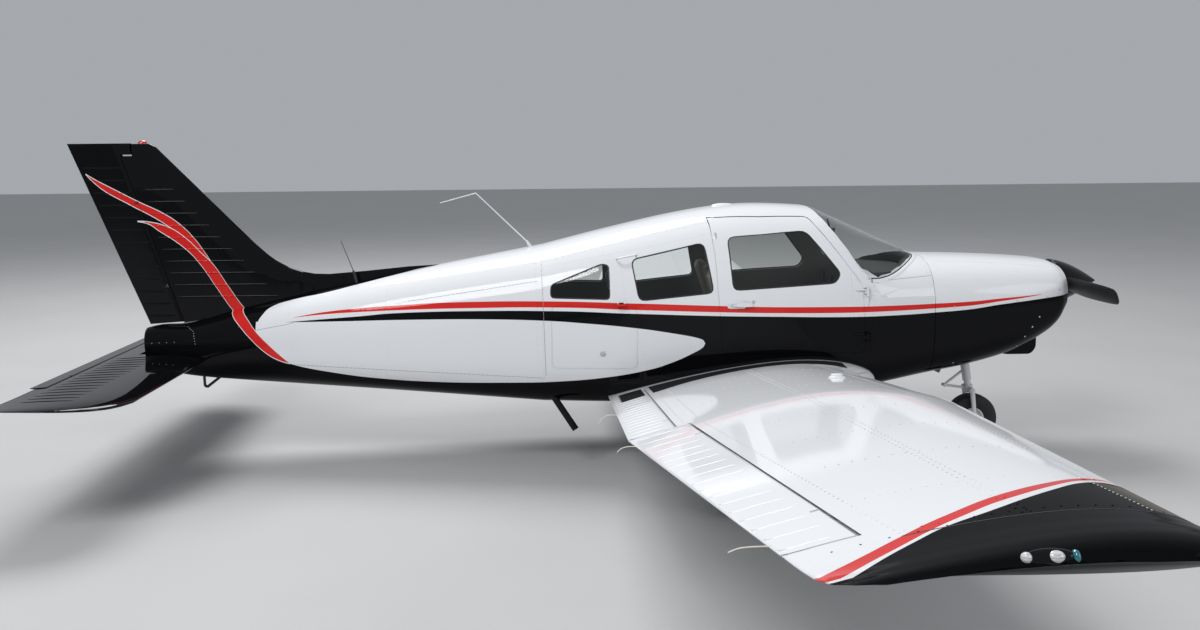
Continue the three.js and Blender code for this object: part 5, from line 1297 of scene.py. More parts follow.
def on_hull(skin, places, side):
    """Points and normals on a hull's smooth surface at places x and z."""
    places = np.asarray(places, float)
    low, high = np.full(len(places), RING_CORNERS * 0.25), np.full(len(places), RING_CORNERS * 0.75)
    for _ in range(24):
        middle = (low + high) / 2
        above = skin.point(places[:, 0], middle)[:, 2] > places[:, 1]
        low, high = np.where(above, middle, low), np.where(above, high, middle)
    number = (low + high) / 2
    points, normals = skin.point(places[:, 0], number), skin.normal(places[:, 0], number)
    normals *= np.sign(-normals[:, 1:2])
    if side > 0:
        points[:, 1] *= -1
        normals[:, 1] *= -1
    return points, normals


def closed_outline(corners, radius, pitch):
    """Points a pitch apart round an outline with curved corners."""
    outline = rounded(corners, radius)
    return spaced(np.vstack([outline, outline[:1]]), pitch)[:-1]


def window_seals():
    for node, (corners, radius), side in PANES:
        outline = closed_outline(corners, radius, 0.016)
        centre = outline.mean(axis=0)
        outline = outline + unit(centre - outline) * 0.003
        points, normals = on_hull(PANE_OUT, outline, side)
        add_piece(f"{node}_seal", [sweep(points, normals, SEAL_OUTLINE, closed=True)], SEAL, BODY_OF[node])


# Laps and butt joints of the side skins: x and z. Their strips are grey, which is painted shade along the
# lapped edges
SIDE_SEAMS = [
    [(-2.324, 0.929), (-2.064, 0.979)], [(-1.274, 1.130), (-0.388, 1.269)],
    [(-2.072, 0.696), (-0.341, 0.622)],
    [(-0.364, 1.400), (-0.352, 1.150), (-0.338, 0.640)], [(0.807, 1.690), (0.810, 1.405)],
    [(1.822, 1.140), (1.814, 1.085)], [(1.821, 1.242), (2.280, 1.269)],
]
LAP_LINE = [(-0.0016, -0.001), (-0.0014, 0.0004), (0.0014, 0.0004), (0.0016, -0.001)]


def lap_seams():
    skins = Seat(*SIDE_NODES)
    lines = []
    for path in SIDE_SEAMS:
        for side in (-1, 1):
            points, normals = skins.side(spaced(path, 0.03), side)
            lines.append(sweep(points, normals, LAP_LINE))
    # The strips' grey is painted shade along each lap
    add_piece("lap_seams", lines, LAP_SHADOW_GREY, "airframe")


# Gaps round the two doors. Columns: name, outline x and z, corner radii, hinge y and z, lean in radians
DOOR_GAPS = [
    ("door_seam", [(0.838, 0.782), (0.776, 1.684), (1.432, 1.684), (1.772, 1.222), (1.797, 0.782)],
     (0.002, 0.002, 0.028, 0.028, 0.028), -0.582, 1.186, 0.063),
    ("baggage_seam", [(-0.292, 0.688), (-0.292, 1.098), (0.268, 1.098), (0.268, 0.688)],
     0.034, -0.590, 1.116, -0.12),
]
SEAM_STRIP = [(-0.0024, -0.009), (-0.0024, -0.0016), (0.0024, -0.0016), (0.0024, -0.009)]
HALF_GAP = 0.003


def door_seams():
    """Painted strips down in the gaps round the doors, which their jambs carry."""
    for name, corners, radius, hinge_y, hinge_z, lean in DOOR_GAPS:
        outline = closed_outline(corners, radius, 0.012)
        ahead = unit(np.roll(outline, -1, 0) - np.roll(outline, 1, 0))
        away = ahead[:, ::-1] * (1, -1)
        away *= np.sign((away * (outline - outline.mean(axis=0))).sum(1, keepdims=True))
        x, drop = outline[:, 0] + away[:, 0] * HALF_GAP, outline[:, 1] + away[:, 1] * HALF_GAP - hinge_z
        z = drop + hinge_z
        for _ in range(6):
            points, normals = on_hull(CABIN_OUT, np.stack([x, z], axis=1), -1)
            depth = (points[:, 1] - hinge_y - drop * math.sin(lean)) / math.cos(lean)
            z = hinge_z - depth * math.sin(lean) + drop * math.cos(lean)
        wider = np.clip(1 / np.maximum(np.abs(normals[:, 1]), 0.1), 1, 3)
        add_piece(name, [sweep(points, normals, SEAM_STRIP, closed=True, scale=wider)], FUSELAGE, "airframe")


# Foot of the windshield from the nose's middle to its right corner
SHIELD_FOOT = [(2.252, 0.0, 1.395), (2.240, 0.135, 1.391), (2.210, 0.218, 1.377), (2.170, 0.289, 1.360),
               (2.123, 0.352, 1.340), (2.061, 0.417, 1.309), (2.008, 0.459, 1.287), (1.962, 0.488, 1.273),
               (1.902, 0.519, 1.262), (1.828, 0.547, 1.261)]
FOOT_STRIP = [(-0.013, -0.004), (-0.012, 0.002), (-0.006, 0.0042), (0.006, 0.0042), (0.012, 0.002),
              (0.013, -0.004)]
SHIELD_SEAL = [(-0.005, -0.004), (-0.0045, 0.002), (0.0, 0.0034), (0.0045, 0.002), (0.005, -0.004)]


def shield_moulding():
    """A white strip round the windshield's foot, with a dark seal between it and the glass."""
    skins = Seat("cabin_side_left", "cabin_side_right", "cabin_roof", "cowl_upper")
    right = spaced(np.array(SHIELD_FOOT)[::-1] * (1, -1, 1), 0.02)
    foot = np.vstack([right, (right * (1, -1, 1))[-2::-1]])
    ahead = np.gradient(foot, axis=0)
    strip_points, strip_normals = [], []
    for place, (dx, dy, _) in zip(foot, ahead):
        away = unit(np.array([abs(dy), np.sign(place[1]) * abs(dx), 0.0]))
        point, normal, _, _ = skins.tree.find_nearest(Vector(place + away * 0.014 - (0, 0, 0.004)))
        strip_points.append(point)
        strip_normals.append(normal)
    strip_points, strip_normals = np.array(strip_points), np.array(strip_normals)
    add_piece("windshield_foot_strip", [sweep(strip_points, strip_normals, FOOT_STRIP)], WHITE, "airframe")
    inward = unit(np.cross(np.gradient(strip_points, axis=0), strip_normals))
    inward *= -np.sign(inward[:, :1])
    add_piece("windshield_foot_seal", [sweep(strip_points + inward * 0.016, strip_normals, SHIELD_SEAL)],
              SEAL, "airframe")


def raised_plate(outline, lift, thickness, crown=0.0):
    """A plate with softened edges. lift gives the points and normals under its outline."""
    outline = np.asarray(outline, float)
    centre = outline.mean(axis=0)
    rings = []
    for share, rise in ((0, -0.0015), (0, thickness * 0.7), (0.15, thickness), (0.6, thickness + crown)):
        points, normals = lift(outline + (centre - outline) * share)
        rings.append(points + normals * rise)
    middle, up = lift(centre[None])
    count = len(outline)
    points = np.vstack(rings + [middle + up * (thickness + crown * 1.1)])
    last = (len(rings) - 1) * count
    faces = ring_faces(len(rings), count)
    faces += [(last + j, last + (j + 1) % count, len(points) - 1) for j in range(count)]
    return points, faces + [tuple(range(count))]


def box_outline(x0, z0, x1, z1, radius):
    return spaced(rounded([(x0, z0), (x0, z1), (x1, z1), (x1, z0)], radius), 0.006)


def oval(x, z, radius, flat=1.0, sides=20):
    turn = np.linspace(0, 2 * np.pi, sides, endpoint=False)
    return np.stack([x + radius * np.cos(turn), z + radius * flat * np.sin(turn)], axis=1)


# The cabin door's handle. Columns: part, outline, height, crown, finish.
# An outline has x and z from, x and z to, and the corners' radius.
DOOR_HANDLE = [("plate", (0.868, 1.084, 0.990, 1.124, 0.016), 0.005, 0.0, TRIM_WHITE),
               ("recess", (0.884, 1.092, 0.950, 1.117, 0.010), 0.0062, 0.0, ALLOY),
               ("paddle", (0.905, 1.095, 0.984, 1.113, 0.008), 0.0110, 0.002, TRIM_WHITE)]
UPPER_LATCH = (0.790, 1.540, 0.810, 1.580, 0.006)
LOCK_PLACE, LOCK = (1.041, 1.128), [(-0.002, 0.0105), (0.003, 0.0105), (0.0045, 0.009), (0.0045, 0.0)]
BAGGAGE_LATCH = (0.042, 0.790)
HINGE_FAIRINGS, WHITE_FROM_Z = ((1.774, 1.196), (1.765, 0.902)), 1.03
ON_CABIN = functools.partial(on_hull, CABIN_OUT)


def door_hardware():
    lift = functools.partial(ON_CABIN, side=-1)
    for part, outline, height, crown, finish in DOOR_HANDLE:
        plate = raised_plate(box_outline(*outline), lift, height, crown)
        add_piece(f"door_handle_{part}", [plate], finish, "cabin_door")
    (point,), (normal,) = lift([LOCK_PLACE])
    add_piece("door_lock", [turned(LOCK, point, normal, 24)], ALLOY, "cabin_door")
    add_piece("door_upper_latch", [raised_plate(box_outline(*UPPER_LATCH), lift, 0.003)], ALLOY, "airframe")
    plate = raised_plate(oval(*BAGGAGE_LATCH, 0.019), lift, 0.004)
    key_bar = raised_plate(oval(*BAGGAGE_LATCH, 0.009, 0.5), lift, 0.008)
    add_piece("baggage_latch", [plate, key_bar], ALLOY, "baggage_door")
    for place, (x, z) in enumerate(HINGE_FAIRINGS):
        points, normals = lift([(x - 0.045, z), (x, z), (x + 0.045, z)])
        bar_points, faces = rod(points + normals * 0.006, 0.008, normals, scale=[0.5, 1, 0.5])
        finish = WHITE if z > WHITE_FROM_Z else BLACK
        add_piece(f"hinge_fairing_{place + 1}", [(bar_points, faces)], finish, "airframe")


GRIP_ENDS = ((0.140, 1.424), (0.268, 1.448))


def grab_handle():
    (x0, z0), (x1, z1) = GRIP_ENDS
    corners = [(x0, -0.500, z0 - 0.016), (x0, -0.561, z0), (x1, -0.561, z1), (x1, -0.500, z1 - 0.018)]
    path = rounded(corners, 0.022, closed=False)
    add_piece("grab_handle_loop", [rod(path, 0.0072, (0, -0.3, 1), flat=0.8)], TRIM_WHITE, "airframe",
              replaced=["grab_handle"], slot="alloy")
    lift = functools.partial(ON_CABIN, side=-1)
    feet = [raised_plate(oval(x, z - 0.004, 0.016, 0.8), lift, 0.003) for x, z in GRIP_ENDS]
    add_piece("grab_handle_feet", feet, TRIM_WHITE, "airframe")


COWL_STUDS = [(3.175, 1.160), (3.028, 0.979), (2.983, 0.909), (2.941, 0.840), (2.909, 0.766), (2.450, 0.664),
              (2.420, 1.062), (2.640, 1.078), (2.860, 1.096), (3.080, 1.112)]

STUD = [(-0.001, 0.006), (0.0012, 0.006), (0.002, 0.0045), (0.0012, 0.003), (0.0012, 0.0)]
COWL_SPLIT_Z = 1.052


def cowl_details():
    for label, side in (("right", -1), ("left", 1)):
        points, normals = on_hull(COWL_OUT, COWL_STUDS, side)
        upper = points[:, 2] > COWL_SPLIT_Z
        for part, chosen in (("upper", upper), ("lower", ~upper)):
            studs = [turned(STUD, point, normal, 16)
                     for point, normal in zip(points[chosen], normals[chosen])]
            add_piece(f"cowl_{part}_studs_{label}", studs, ALLOY, "airframe")
    skins = Seat("cowl_upper")
    spots = [skins.side(spaced([(2.335, 1.30), (2.338, 1.09)], 0.05), side) for side in (-1, 1)]
    spots += [skins.top(spaced([(2.330, -0.38), (2.330, 0.38)], 0.06))]
    add_rivets("cowl_rim_screws", spots, WHITE, "airframe", foot=0.0042, height=0.0015)
    line, facing = [], []
    for x in np.linspace(2.330, 3.120, 40):
        point, normal = skins.top([(x, -0.285 - 0.02 * (x - 2.33))])
        line.append(point[0])
        facing.append(normal[0])
    fold = [(-0.010, -0.001), (-0.004, 0.0022), (0.004, 0.0022), (0.010, -0.001)]
    mirrored = [np.array(row) * (1, -1, 1) for row in (line, facing)]
    add_piece("cowl_top_folds", [sweep(line, facing, fold), sweep(*mirrored, fold)], WHITE, "airframe")


FUEL_CAP = [(-0.006, 0.046), (0.004, 0.046), (0.006, 0.042), (0.008, 0.036), (0.010, 0.034), (0.019, 0.032),
            (0.022, 0.028), (0.023, 0.018), (0.023, 0.0)]
# Wicks at the trailing edges. Columns: y, how far the wick reaches aft and hangs down
WICKS = {"flap": [(1.62, 0.105, 0.040)], "aileron": [(2.86, 0.085, 0.020), (4.80, 0.115, 0.010)]}
FUEL_CAP_PLACE, TIE_DOWN_PLACE = (1.275, 1.860), (1.060, 2.980)


def wing_details():
    for side, way in WAYS.items():
        skins = Seat(f"wing_{side}")
        (point,), (normal,) = skins.top([(FUEL_CAP_PLACE[0], way * FUEL_CAP_PLACE[1])])
        add_piece(f"fuel_cap_{side}", [turned(FUEL_CAP, point, normal, 40)], TRIM_WHITE, "airframe")
        (x, y, z), = skins.top([(TIE_DOWN_PLACE[0], way * TIE_DOWN_PLACE[1])], above=False)[0]
        ring = [(x + 0.016 * np.cos(a), y, z - 0.010 + 0.020 * np.sin(a))
                for a in np.linspace(0, 2 * np.pi, 24, endpoint=False)]
        loop = sweep(ring, (0, 1, 0), round_outline(0.004, 8), closed=True)
        add_piece(f"tie_down_{side}", [loop], STEEL, "airframe")
        for part, wicks in WICKS.items():
            rods = []
            for y, dx, dz in wicks:
                _, trail, _, base_z = (float(v) for v in wing_edges(np.array(y)))
                corners = [(trail + 0.012, way * y, base_z + 0.0015),
                           (trail - dx * 0.4, way * y, base_z + dz * 0.15),
                           (trail - dx * 0.75, way * y, base_z - dz * 0.2),
                           (trail - dx, way * (y + 0.01), base_z - dz)]
                path = spaced(rounded(corners, 0.05, closed=False), 0.01)
                rods.append(rod(path, 0.0022, (0, 1, 0), 8))
            add_piece(f"{part}_{side}_wicks", rods, WICK, f"{part}_{side}")
        lens_row = skins.top([(1.312, way * y) for y in np.arange(4.63, 4.97, 0.022)])
        add_rivets(f"lens_{side}_screws", [lens_row], ALLOY, "airframe", foot=0.004, height=0.0015)


TIP_LIGHT_PLACE = (0.880, 1.186)
# Lamps on a wing tip. Columns: name, place along X, half length, half height, how far it stands out
TIP_LAMPS = [("tip_light_mount", 0.000, 0.064, 0.0215, 0.0100), ("tip_strobe", 0.009, 0.0235, 0.0165, 0.0165),
             ("tip_tail_light", -0.058, 0.013, 0.0135, 0.0120), ("tip_lamp", 0.057, 0.0105, 0.0170, 0.0130)]


def tip_lights():
    """A low mount on each wing tip with a strobe, a clear tail light and a coloured lamp on it."""
    for side, way in WAYS.items():
        finishes = {"tip_light_mount": BLACK, "tip_lamp": GREEN_LENS if way < 0 else RED_LENS}
        point, _ = Seat(f"wing_tip_{side}").side([TIP_LIGHT_PLACE], way)
        out = unit(np.array([0.0, way * 1.0, 0.62]))
        spread = np.stack([np.array([1.0, 0.0, 0.0]), out, np.array([0.0, -out[2] * way, out[1] * way])])
        for name, along, half_length, half_height, proud in TIP_LAMPS:
            points, faces = dome((0, 0, 0), (0, 1, 0), 1.0, 1.0, sides=40, steps=10)
            points = points * (half_length, proud + 0.004, half_height) + (along, -0.004, 0)
            finish = finishes.get(name, CLEAR_LENS)
            add_piece(f"{name}_{side}", [(points @ spread + point[0], faces)], finish, "airframe")


TIP_SEAM_Y = 4.994
TIP_SEAM_LINE = [(-0.0028, -0.002), (-0.0024, 0.0006), (0.0024, 0.0006), (0.0028, -0.002)]


def tip_seams():
    """The dark joint line between each wing and its tip."""
    for side, way in WAYS.items():
        skins = Seat(f"wing_{side}", f"wing_tip_{side}")
        places = [(x, way * TIP_SEAM_Y) for x in np.linspace(0.640, 1.395, 80)]
        lines = [sweep(*skins.top(places, above), TIP_SEAM_LINE) for above in (True, False)]
        add_piece(f"tip_seam_{side}", lines, SEAL, "airframe")


# Propeller blade. Columns: radius, chord, thickness, angle in degrees
BLADE = [(0.050, 0.060, 0.048, 40), (0.150, 0.084, 0.040, 36), (0.260, 0.130, 0.028, 35),
         (0.420, 0.148, 0.022, 30),
         (0.700, 0.132, 0.014, 23), (0.900, 0.104, 0.009, 18), (0.9299, 0.066, 0.006, 17)]
BLADE_OUTLINE = [(0.5, 0), (0.3, 0.42), (0, 0.5), (-0.3, 0.3), (-0.5, 0), (-0.3, -0.3), (0, -0.42),
                 (0.3, -0.34)]
PROP_X, PROP_Z, PROP_PLANE = 3.281, 1.171, 0.031
PROP_CENTRE, PROP_AXIS = (PROP_X, 0, PROP_Z), (1, 0, 0)
PROP_HUB = [(0.005, 0.030), (0.005, 0.058), (0.070, 0.058), (0.076, 0.050), (0.076, 0.0)]
SPINNER_RADIUS, SPINNER_LENGTH = 0.160, 0.346


def closed_curve(points, steps):
    """A smooth closed curve through points."""
    points = np.asarray(points, float)
    result = []
    for k in range(len(points)):
        before, here, after, later = (points[(k + j) % len(points)] for j in (-1, 0, 1, 2))
        for t in np.linspace(0, 1, steps, endpoint=False):
            square = 2 * before - 5 * here + 4 * after - later
            cube = 3 * here - before - 3 * after + later
            result.append(0.5 * (2 * here + (after - before) * t + square * t ** 2 + cube * t ** 3))
    return np.array(result)


def propeller():
    outline = closed_curve(BLADE_OUTLINE, 4)
    stations = np.append(np.linspace(0.052, 0.905, 40), [0.915, 0.922, 0.927, 0.9295])
    rows = smooth_rows(BLADE, stations)
    parts = []
    for sign in (1, -1):
        rings = []
        for r, chord, thick, angle in rows:
            turn = math.radians(angle) * sign
            a, b = outline[:, 0] * chord, outline[:, 1] * thick
            rings.append(np.stack([PROP_X + PROP_PLANE + a * math.sin(turn) * sign + b * math.cos(turn),
                                   np.full(len(a), sign * r),
                                   PROP_Z + (a * math.cos(turn) - b * math.sin(turn) * sign) * sign], axis=1))
        count = len(outline)
        parts.append((np.vstack(rings), ring_faces(len(rings), count) + ring_ends(len(rings), count)))
    hub = turned(PROP_HUB, PROP_CENTRE, PROP_AXIS)
    add_piece("propeller_blades", parts + [hub], PROP_BLACK, "propeller", replaced=["propeller"])
    share = np.linspace(0, 1, 40) ** 0.8
    shell = [(t * SPINNER_LENGTH, SPINNER_RADIUS * (1 - t ** 1.6)) for t in share]
    profile = [(0.0, 0.05), (0.0, SPINNER_RADIUS - 0.002), (0.002, SPINNER_RADIUS)] + shell[2:]
    spinner = turned(profile, PROP_CENTRE, PROP_AXIS, 72)
    add_piece("spinner_shell", [spinner], BLACK, "propeller", replaced=["spinner"], slot="black_skin")
    screws = []
    for angle in np.linspace(0, 2 * np.pi, 24, endpoint=False):
        if abs(math.cos(angle)) > 0.965:
            continue
        way = np.array([0, math.cos(angle), math.sin(angle)])
        screws.append((np.array([[PROP_X + 0.014, 0, PROP_Z]]) + way * (SPINNER_RADIUS - 0.0009), way[None]))
    add_rivets("spinner_screws", screws, ALLOY, "propeller", foot=0.0042, height=0.0014)


# Wheels. Columns: name, body, x, y, radius, half width, rim radius, axle radius
WHEELS = [("main_left", "main_wheel_left", 0.840, 1.525, 0.222, 0.078, 0.096, 0.019),
          ("main_right", "main_wheel_right", 0.840, -1.525, 0.222, 0.078, 0.096, 0.019),
          ("nose", "nose_wheel", 2.745, 0.0, 0.176, 0.062, 0.076, 0.014)]
GROOVES = (0.14, 0.42)
GROOVE_HALF, GROOVE_DEPTH = 0.030, 0.0045
AXLE_WAY = (0, 1, 0)
RIM_BOLT = [(0, 0.007), (0.006, 0.007), (0.007, 0.0055), (0.007, 0.0)]
BRAKE_DISC = [(-0.003, 0.028), (-0.003, 0.080), (0.003, 0.080), (0.003, 0.028)]


def tyre_profile(radius, half, rim):
    """Along the axle and out: one closed outline with four grooves in the tread."""
    side = [(0.60, rim + 0.003), (0.66, rim + 0.001), (0.74, rim + 0.006), (0.93, rim + 0.3 * (radius - rim)),
            (1.0, 0.78 * radius), (0.97, 0.86 * radius), (0.88, 0.93 * radius), (0.72, 0.972 * radius),
            (0.55, 0.992 * radius)]
    tread, lip, crest, floor = [], GROOVE_HALF * 1.3, radius * 0.9995, radius - GROOVE_DEPTH
    for groove in reversed(GROOVES):
        tread += [(groove + lip, crest), (groove + GROOVE_HALF, floor),
                  (groove - GROOVE_HALF, floor), (groove - lip, crest)]
    right = side + tread
    return [(share * half, r) for share, r in right] + [(-share * half, r) for share, r in reversed(right)]


def wheels():
    for name, body, x, y, radius, half, rim, axle in WHEELS:
        centre = (x, y, radius)
        tyre = turned_ring(tyre_profile(radius, half, rim), centre, AXLE_WAY, 96)
        add_piece(f"{name}_tyre_rubber", [tyre], RUBBER, body, smooth_to=math.radians(28),
                  replaced=[f"{name}_tyre"], slot="tyre")
        dish = [(0.66 * half, axle + 0.001), (0.66 * half, axle + 0.020), (0.62 * half, axle + 0.024),
                (0.34 * half, axle + 0.028), (0.30 * half, axle + 0.032), (0.30 * half, rim - 0.016),
                (0.36 * half, rim - 0.011), (0.60 * half, rim - 0.006), (0.70 * half, rim - 0.002),
                (0.70 * half, rim + 0.003), (0.60 * half, rim + 0.003)]
        profile = dish + [(-a, r) for a, r in reversed(dish)]
        bolts = []
        for angle in np.linspace(0, 2 * np.pi, 6, endpoint=False):
            out = rim - 0.026
            for way in (-1, 1):
                spot = (x + out * math.cos(angle), y + way * 0.29 * half, radius + out * math.sin(angle))
                bolts.append(turned(RIM_BOLT, spot, (0, way, 0), 6))
        casting = turned_ring(profile, centre, AXLE_WAY, 64)
        add_piece(f"{name}_rim_casting", [casting] + bolts, GEAR_PAINT, body, smooth_to=math.radians(30),
                  replaced=[f"{name}_rim"], slot="alloy")
        if name != "nose":
            way = 1 if y > 0 else -1
            inner = y - way * half * 0.74
            disc = turned(BRAKE_DISC, (x, inner, radius), AXLE_WAY, 48)
            add_piece(f"{name}_brake_disc", [disc], STEEL, body)
            low, high = (x + 0.040, inner - 0.016, radius - 0.055), (x + 0.084, inner + 0.016, radius + 0.030)
            add_piece(f"{name}_brake_caliper", [block(low, high)], ALLOY, "airframe", bevel=0.006)


FLATTEN = math.radians(2)


def smooth_copy(node, material):
    """A node's own shape with its flat faces merged."""
    points, triangles = merged_node(node)
    mesh = bpy.data.meshes.new(node)
    mesh.from_pydata(points.tolist(), [], triangles.tolist())
    shape = bmesh.new()
    shape.from_mesh(mesh)
    bmesh.ops.dissolve_limit(shape, angle_limit=FLATTEN, verts=shape.verts, edges=shape.edges)
    shape.to_mesh(mesh)
    shape.free()
    shade_smooth(mesh)
    mesh.set_sharp_from_angle(angle=math.radians(40))
    return new_object(f"{node}_finished", mesh, [material], BODY_OF[node], [node])


SMOOTH_COPIES = [
    ("main_gear_left", GEAR_PAINT), ("main_gear_right", GEAR_PAINT), ("nose_fork", GEAR_PAINT),
    ("nose_mount", STEEL), ("exhaust_pipe", EXHAUST), ("pitot_mast", WHITE), ("tail_skid", PLASTIC),
    ("whip_antenna", TRIM_WHITE), ("roof_antenna", TRIM_WHITE), ("stub_antenna", PLASTIC),
    ("entry_step", BLACK), ("yoke_left", PLASTIC), ("yoke_right", PLASTIC), ("instrument_panel", PANEL),
    ("cabin_floor", CARPET), ("firewall", FUSELAGE), ("engine_block", ENGINE_GREY),
]


def fitted_copies():
    for node, finish in SMOOTH_COPIES:
        smooth_copy(node, finish)
    add_piece("beacon_lens", [dome((-3.112, 0, 2.209), (0, 0, 1), 0.032, 0.025)], RED_LENS, "airframe",
              replaced=["beacon"], slot="lamp")


# Round instruments on the panel: y, z, radius
DIALS = [(y + 0.265, z, 0.040) for z in (1.205, 1.115) for y in (-0.095, 0.0, 0.095)] + [
    (0.098, 1.04, 0.028), (0.170, 1.04, 0.028), (0.240, 1.04, 0.028), (-0.300, 1.20, 0.034),
    (-0.390, 1.20, 0.034)]
PANEL_FACE_X, AFT = 1.905, (-1, 0, 0)
RADIO_Z, RADIO_KNOB_Y = (1.215, 1.168, 1.121, 1.074), (-0.138, 0.003)
RADIO_KNOB = [(0, 0.008), (0.016, 0.0075), (0.018, 0.006), (0.018, 0)]
COMPASS_PLACE, COMPASS_CAP = (1.690, 0, 1.560), [(0, 0.038), (0.012, 0.036), (0.014, 0.0)]


def panel_details():
    bezels, glasses = [], []
    for y, z, radius in DIALS:
        place = (PANEL_FACE_X, y, z)
        bezel = [(0, radius), (0.006, radius), (0.007, radius - 0.002), (0.004, radius - 0.006),
                 (0, radius - 0.006)]
        bezels.append(turned_ring(bezel, place, AFT, 32))
        glass = [(0, radius - 0.005), (0.0025, radius - 0.005), (0.0025, 0)]
        glasses.append(turned(glass, place, AFT, 32))
    add_piece("instrument_bezels", bezels, PLASTIC, "airframe")
    add_piece("instrument_faces", glasses, DIAL, "airframe")
    stack = [block((PANEL_FACE_X - 0.008, -0.150, z), (PANEL_FACE_X + 0.001, 0.015, z + 0.040))
             for z in RADIO_Z]
    add_piece("radio_stack", stack, PLASTIC, "airframe", bevel=0.002)
    knobs = [turned(RADIO_KNOB, (PANEL_FACE_X - 0.007, y, z + 0.02), AFT, 16)
             for z in RADIO_Z for y in RADIO_KNOB_Y]
    add_piece("radio_knobs", knobs, ALLOY, "airframe")
    compass = dome(COMPASS_PLACE, (0, 0, -1), 0.036, 0.040)
    stem = rod([COMPASS_PLACE, (1.680, 0, 1.600), (1.668, 0, 1.640)], 0.007, (0, 1, 0))
    cap = turned(COMPASS_CAP, COMPASS_PLACE, (0, 0, 1), 24)
    add_piece("compass", [compass, stem, cap], PLASTIC, "airframe")


def dial_marks():
    """White ticks and needles on the instrument faces."""
    marks = []
    for number, (y, z, radius) in enumerate(DIALS):
        for tick in range(12):
            marks.append(dial_bar(y, z, tick * math.pi / 6, radius * 0.62, radius * 0.80, 0.0011))
        marks.append(dial_bar(y, z, 0.7 + number * 1.1, -radius * 0.15, radius * 0.62, 0.0014))
    add_piece("instrument_marks", marks, TRIM_WHITE, "airframe")


def dial_bar(y, z, angle, start, stop, half):
    """A thin bar on a dial's face, from start to stop out of its middle at an angle."""
    c, s = math.cos(angle), math.sin(angle)
    outline = ((start, -half), (stop, -half), (stop, half), (start, half))
    points = [(PANEL_FACE_X - depth, y + c * along - s * side, z + s * along + c * side)
              for depth in (0.0020, 0.0032) for along, side in outline]
    return points, [(0, 1, 2, 3), (7, 6, 5, 4)] + [(k, k + 4, (k + 1) % 4 + 4, (k + 1) % 4) for k in range(4)]


# Cushions. Columns: name, middle x, y, z, length, width, thickness, tilt in degrees, seams' y, voxel size
CUSHIONS = [
    ("front_cushion", 1.135, 0.262, 0.852, 0.470, 0.425, 0.098, -4, (-0.10, 0.10), 0.0075),
    ("front_backrest", 0.865, 0.262, 1.118, 0.455, 0.415, 0.082, 108, (-0.10, 0.10), 0.0075),
    ("rear_cushion", 0.410, 0.0, 0.822, 0.430, 0.905, 0.095, -4, (-0.225, 0.0, 0.225), 0.0102),
    ("rear_backrest", 0.178, 0.0, 1.070, 0.400, 0.900, 0.080, 106, (-0.225, 0.0, 0.225), 0.0102),
]
PAD_PRESSURE, PAD_FRAMES, PAD_CAP = 4.0, 20, 0.012
SEAM_DEPTH, SEAM_WIDTH = 0.0055, 0.0060
FLOOR_Z, FRONT_SEAT_Y, SEAT_RAIL_Y = 0.6255, 0.262, 0.17


def pad_blank(length, width, thickness):
    """A crowned block with round edges, a little smaller than the finished pad."""
    shape = bmesh.new()
    bmesh.ops.create_cube(shape, size=1)
    bmesh.ops.scale(shape, vec=(length - 0.016, width - 0.016, thickness - 0.016), verts=shape.verts)
    bmesh.ops.bevel(shape, geom=shape.edges, offset=thickness * 0.36, segments=4, profile=0.5, affect="EDGES")
    mesh = bpy.data.meshes.new("pad_blank")
    shape.to_mesh(mesh)
    shape.free()
    return mesh


def puff_up(piece):
    """Air pressure rounds the cloth, and no point moves further than the cap."""
    scene = bpy.context.scene
    before = coordinates(piece.data)
    cloth = piece.modifiers.new("puff", "CLOTH")
    cloth.settings.use_pressure = True
    cloth.settings.uniform_pressure_force = PAD_PRESSURE
    cloth.settings.effector_weights.gravity = 0
    cloth.settings.quality = 4
    cloth.point_cache.frame_start, cloth.point_cache.frame_end = 1, PAD_FRAMES
    for number in range(1, PAD_FRAMES + 1):
        scene.frame_set(number)
    after = coordinates(evaluated_mesh(piece))
    piece.modifiers.remove(cloth)
    scene.frame_set(1)
    move = after - before
    length = np.linalg.norm(move, axis=1, keepdims=True)
    move *= np.minimum(1, PAD_CAP / np.maximum(length, 1e-9))
    piece.data.vertices.foreach_set("co", (before + move).reshape(-1))


def sew(mesh, seams, thickness):
    """Sewn channels along a pad, deepest in the middle of each seam."""
    points = coordinates(mesh)
    for seam in seams:
        share = np.exp(-((points[:, 1] - seam) / SEAM_WIDTH) ** 2)
        points[:, 2] -= np.sign(points[:, 2]) * share * SEAM_DEPTH * (np.abs(points[:, 2]) > thickness * 0.2)
    mesh.vertices.foreach_set("co", points.reshape(-1))


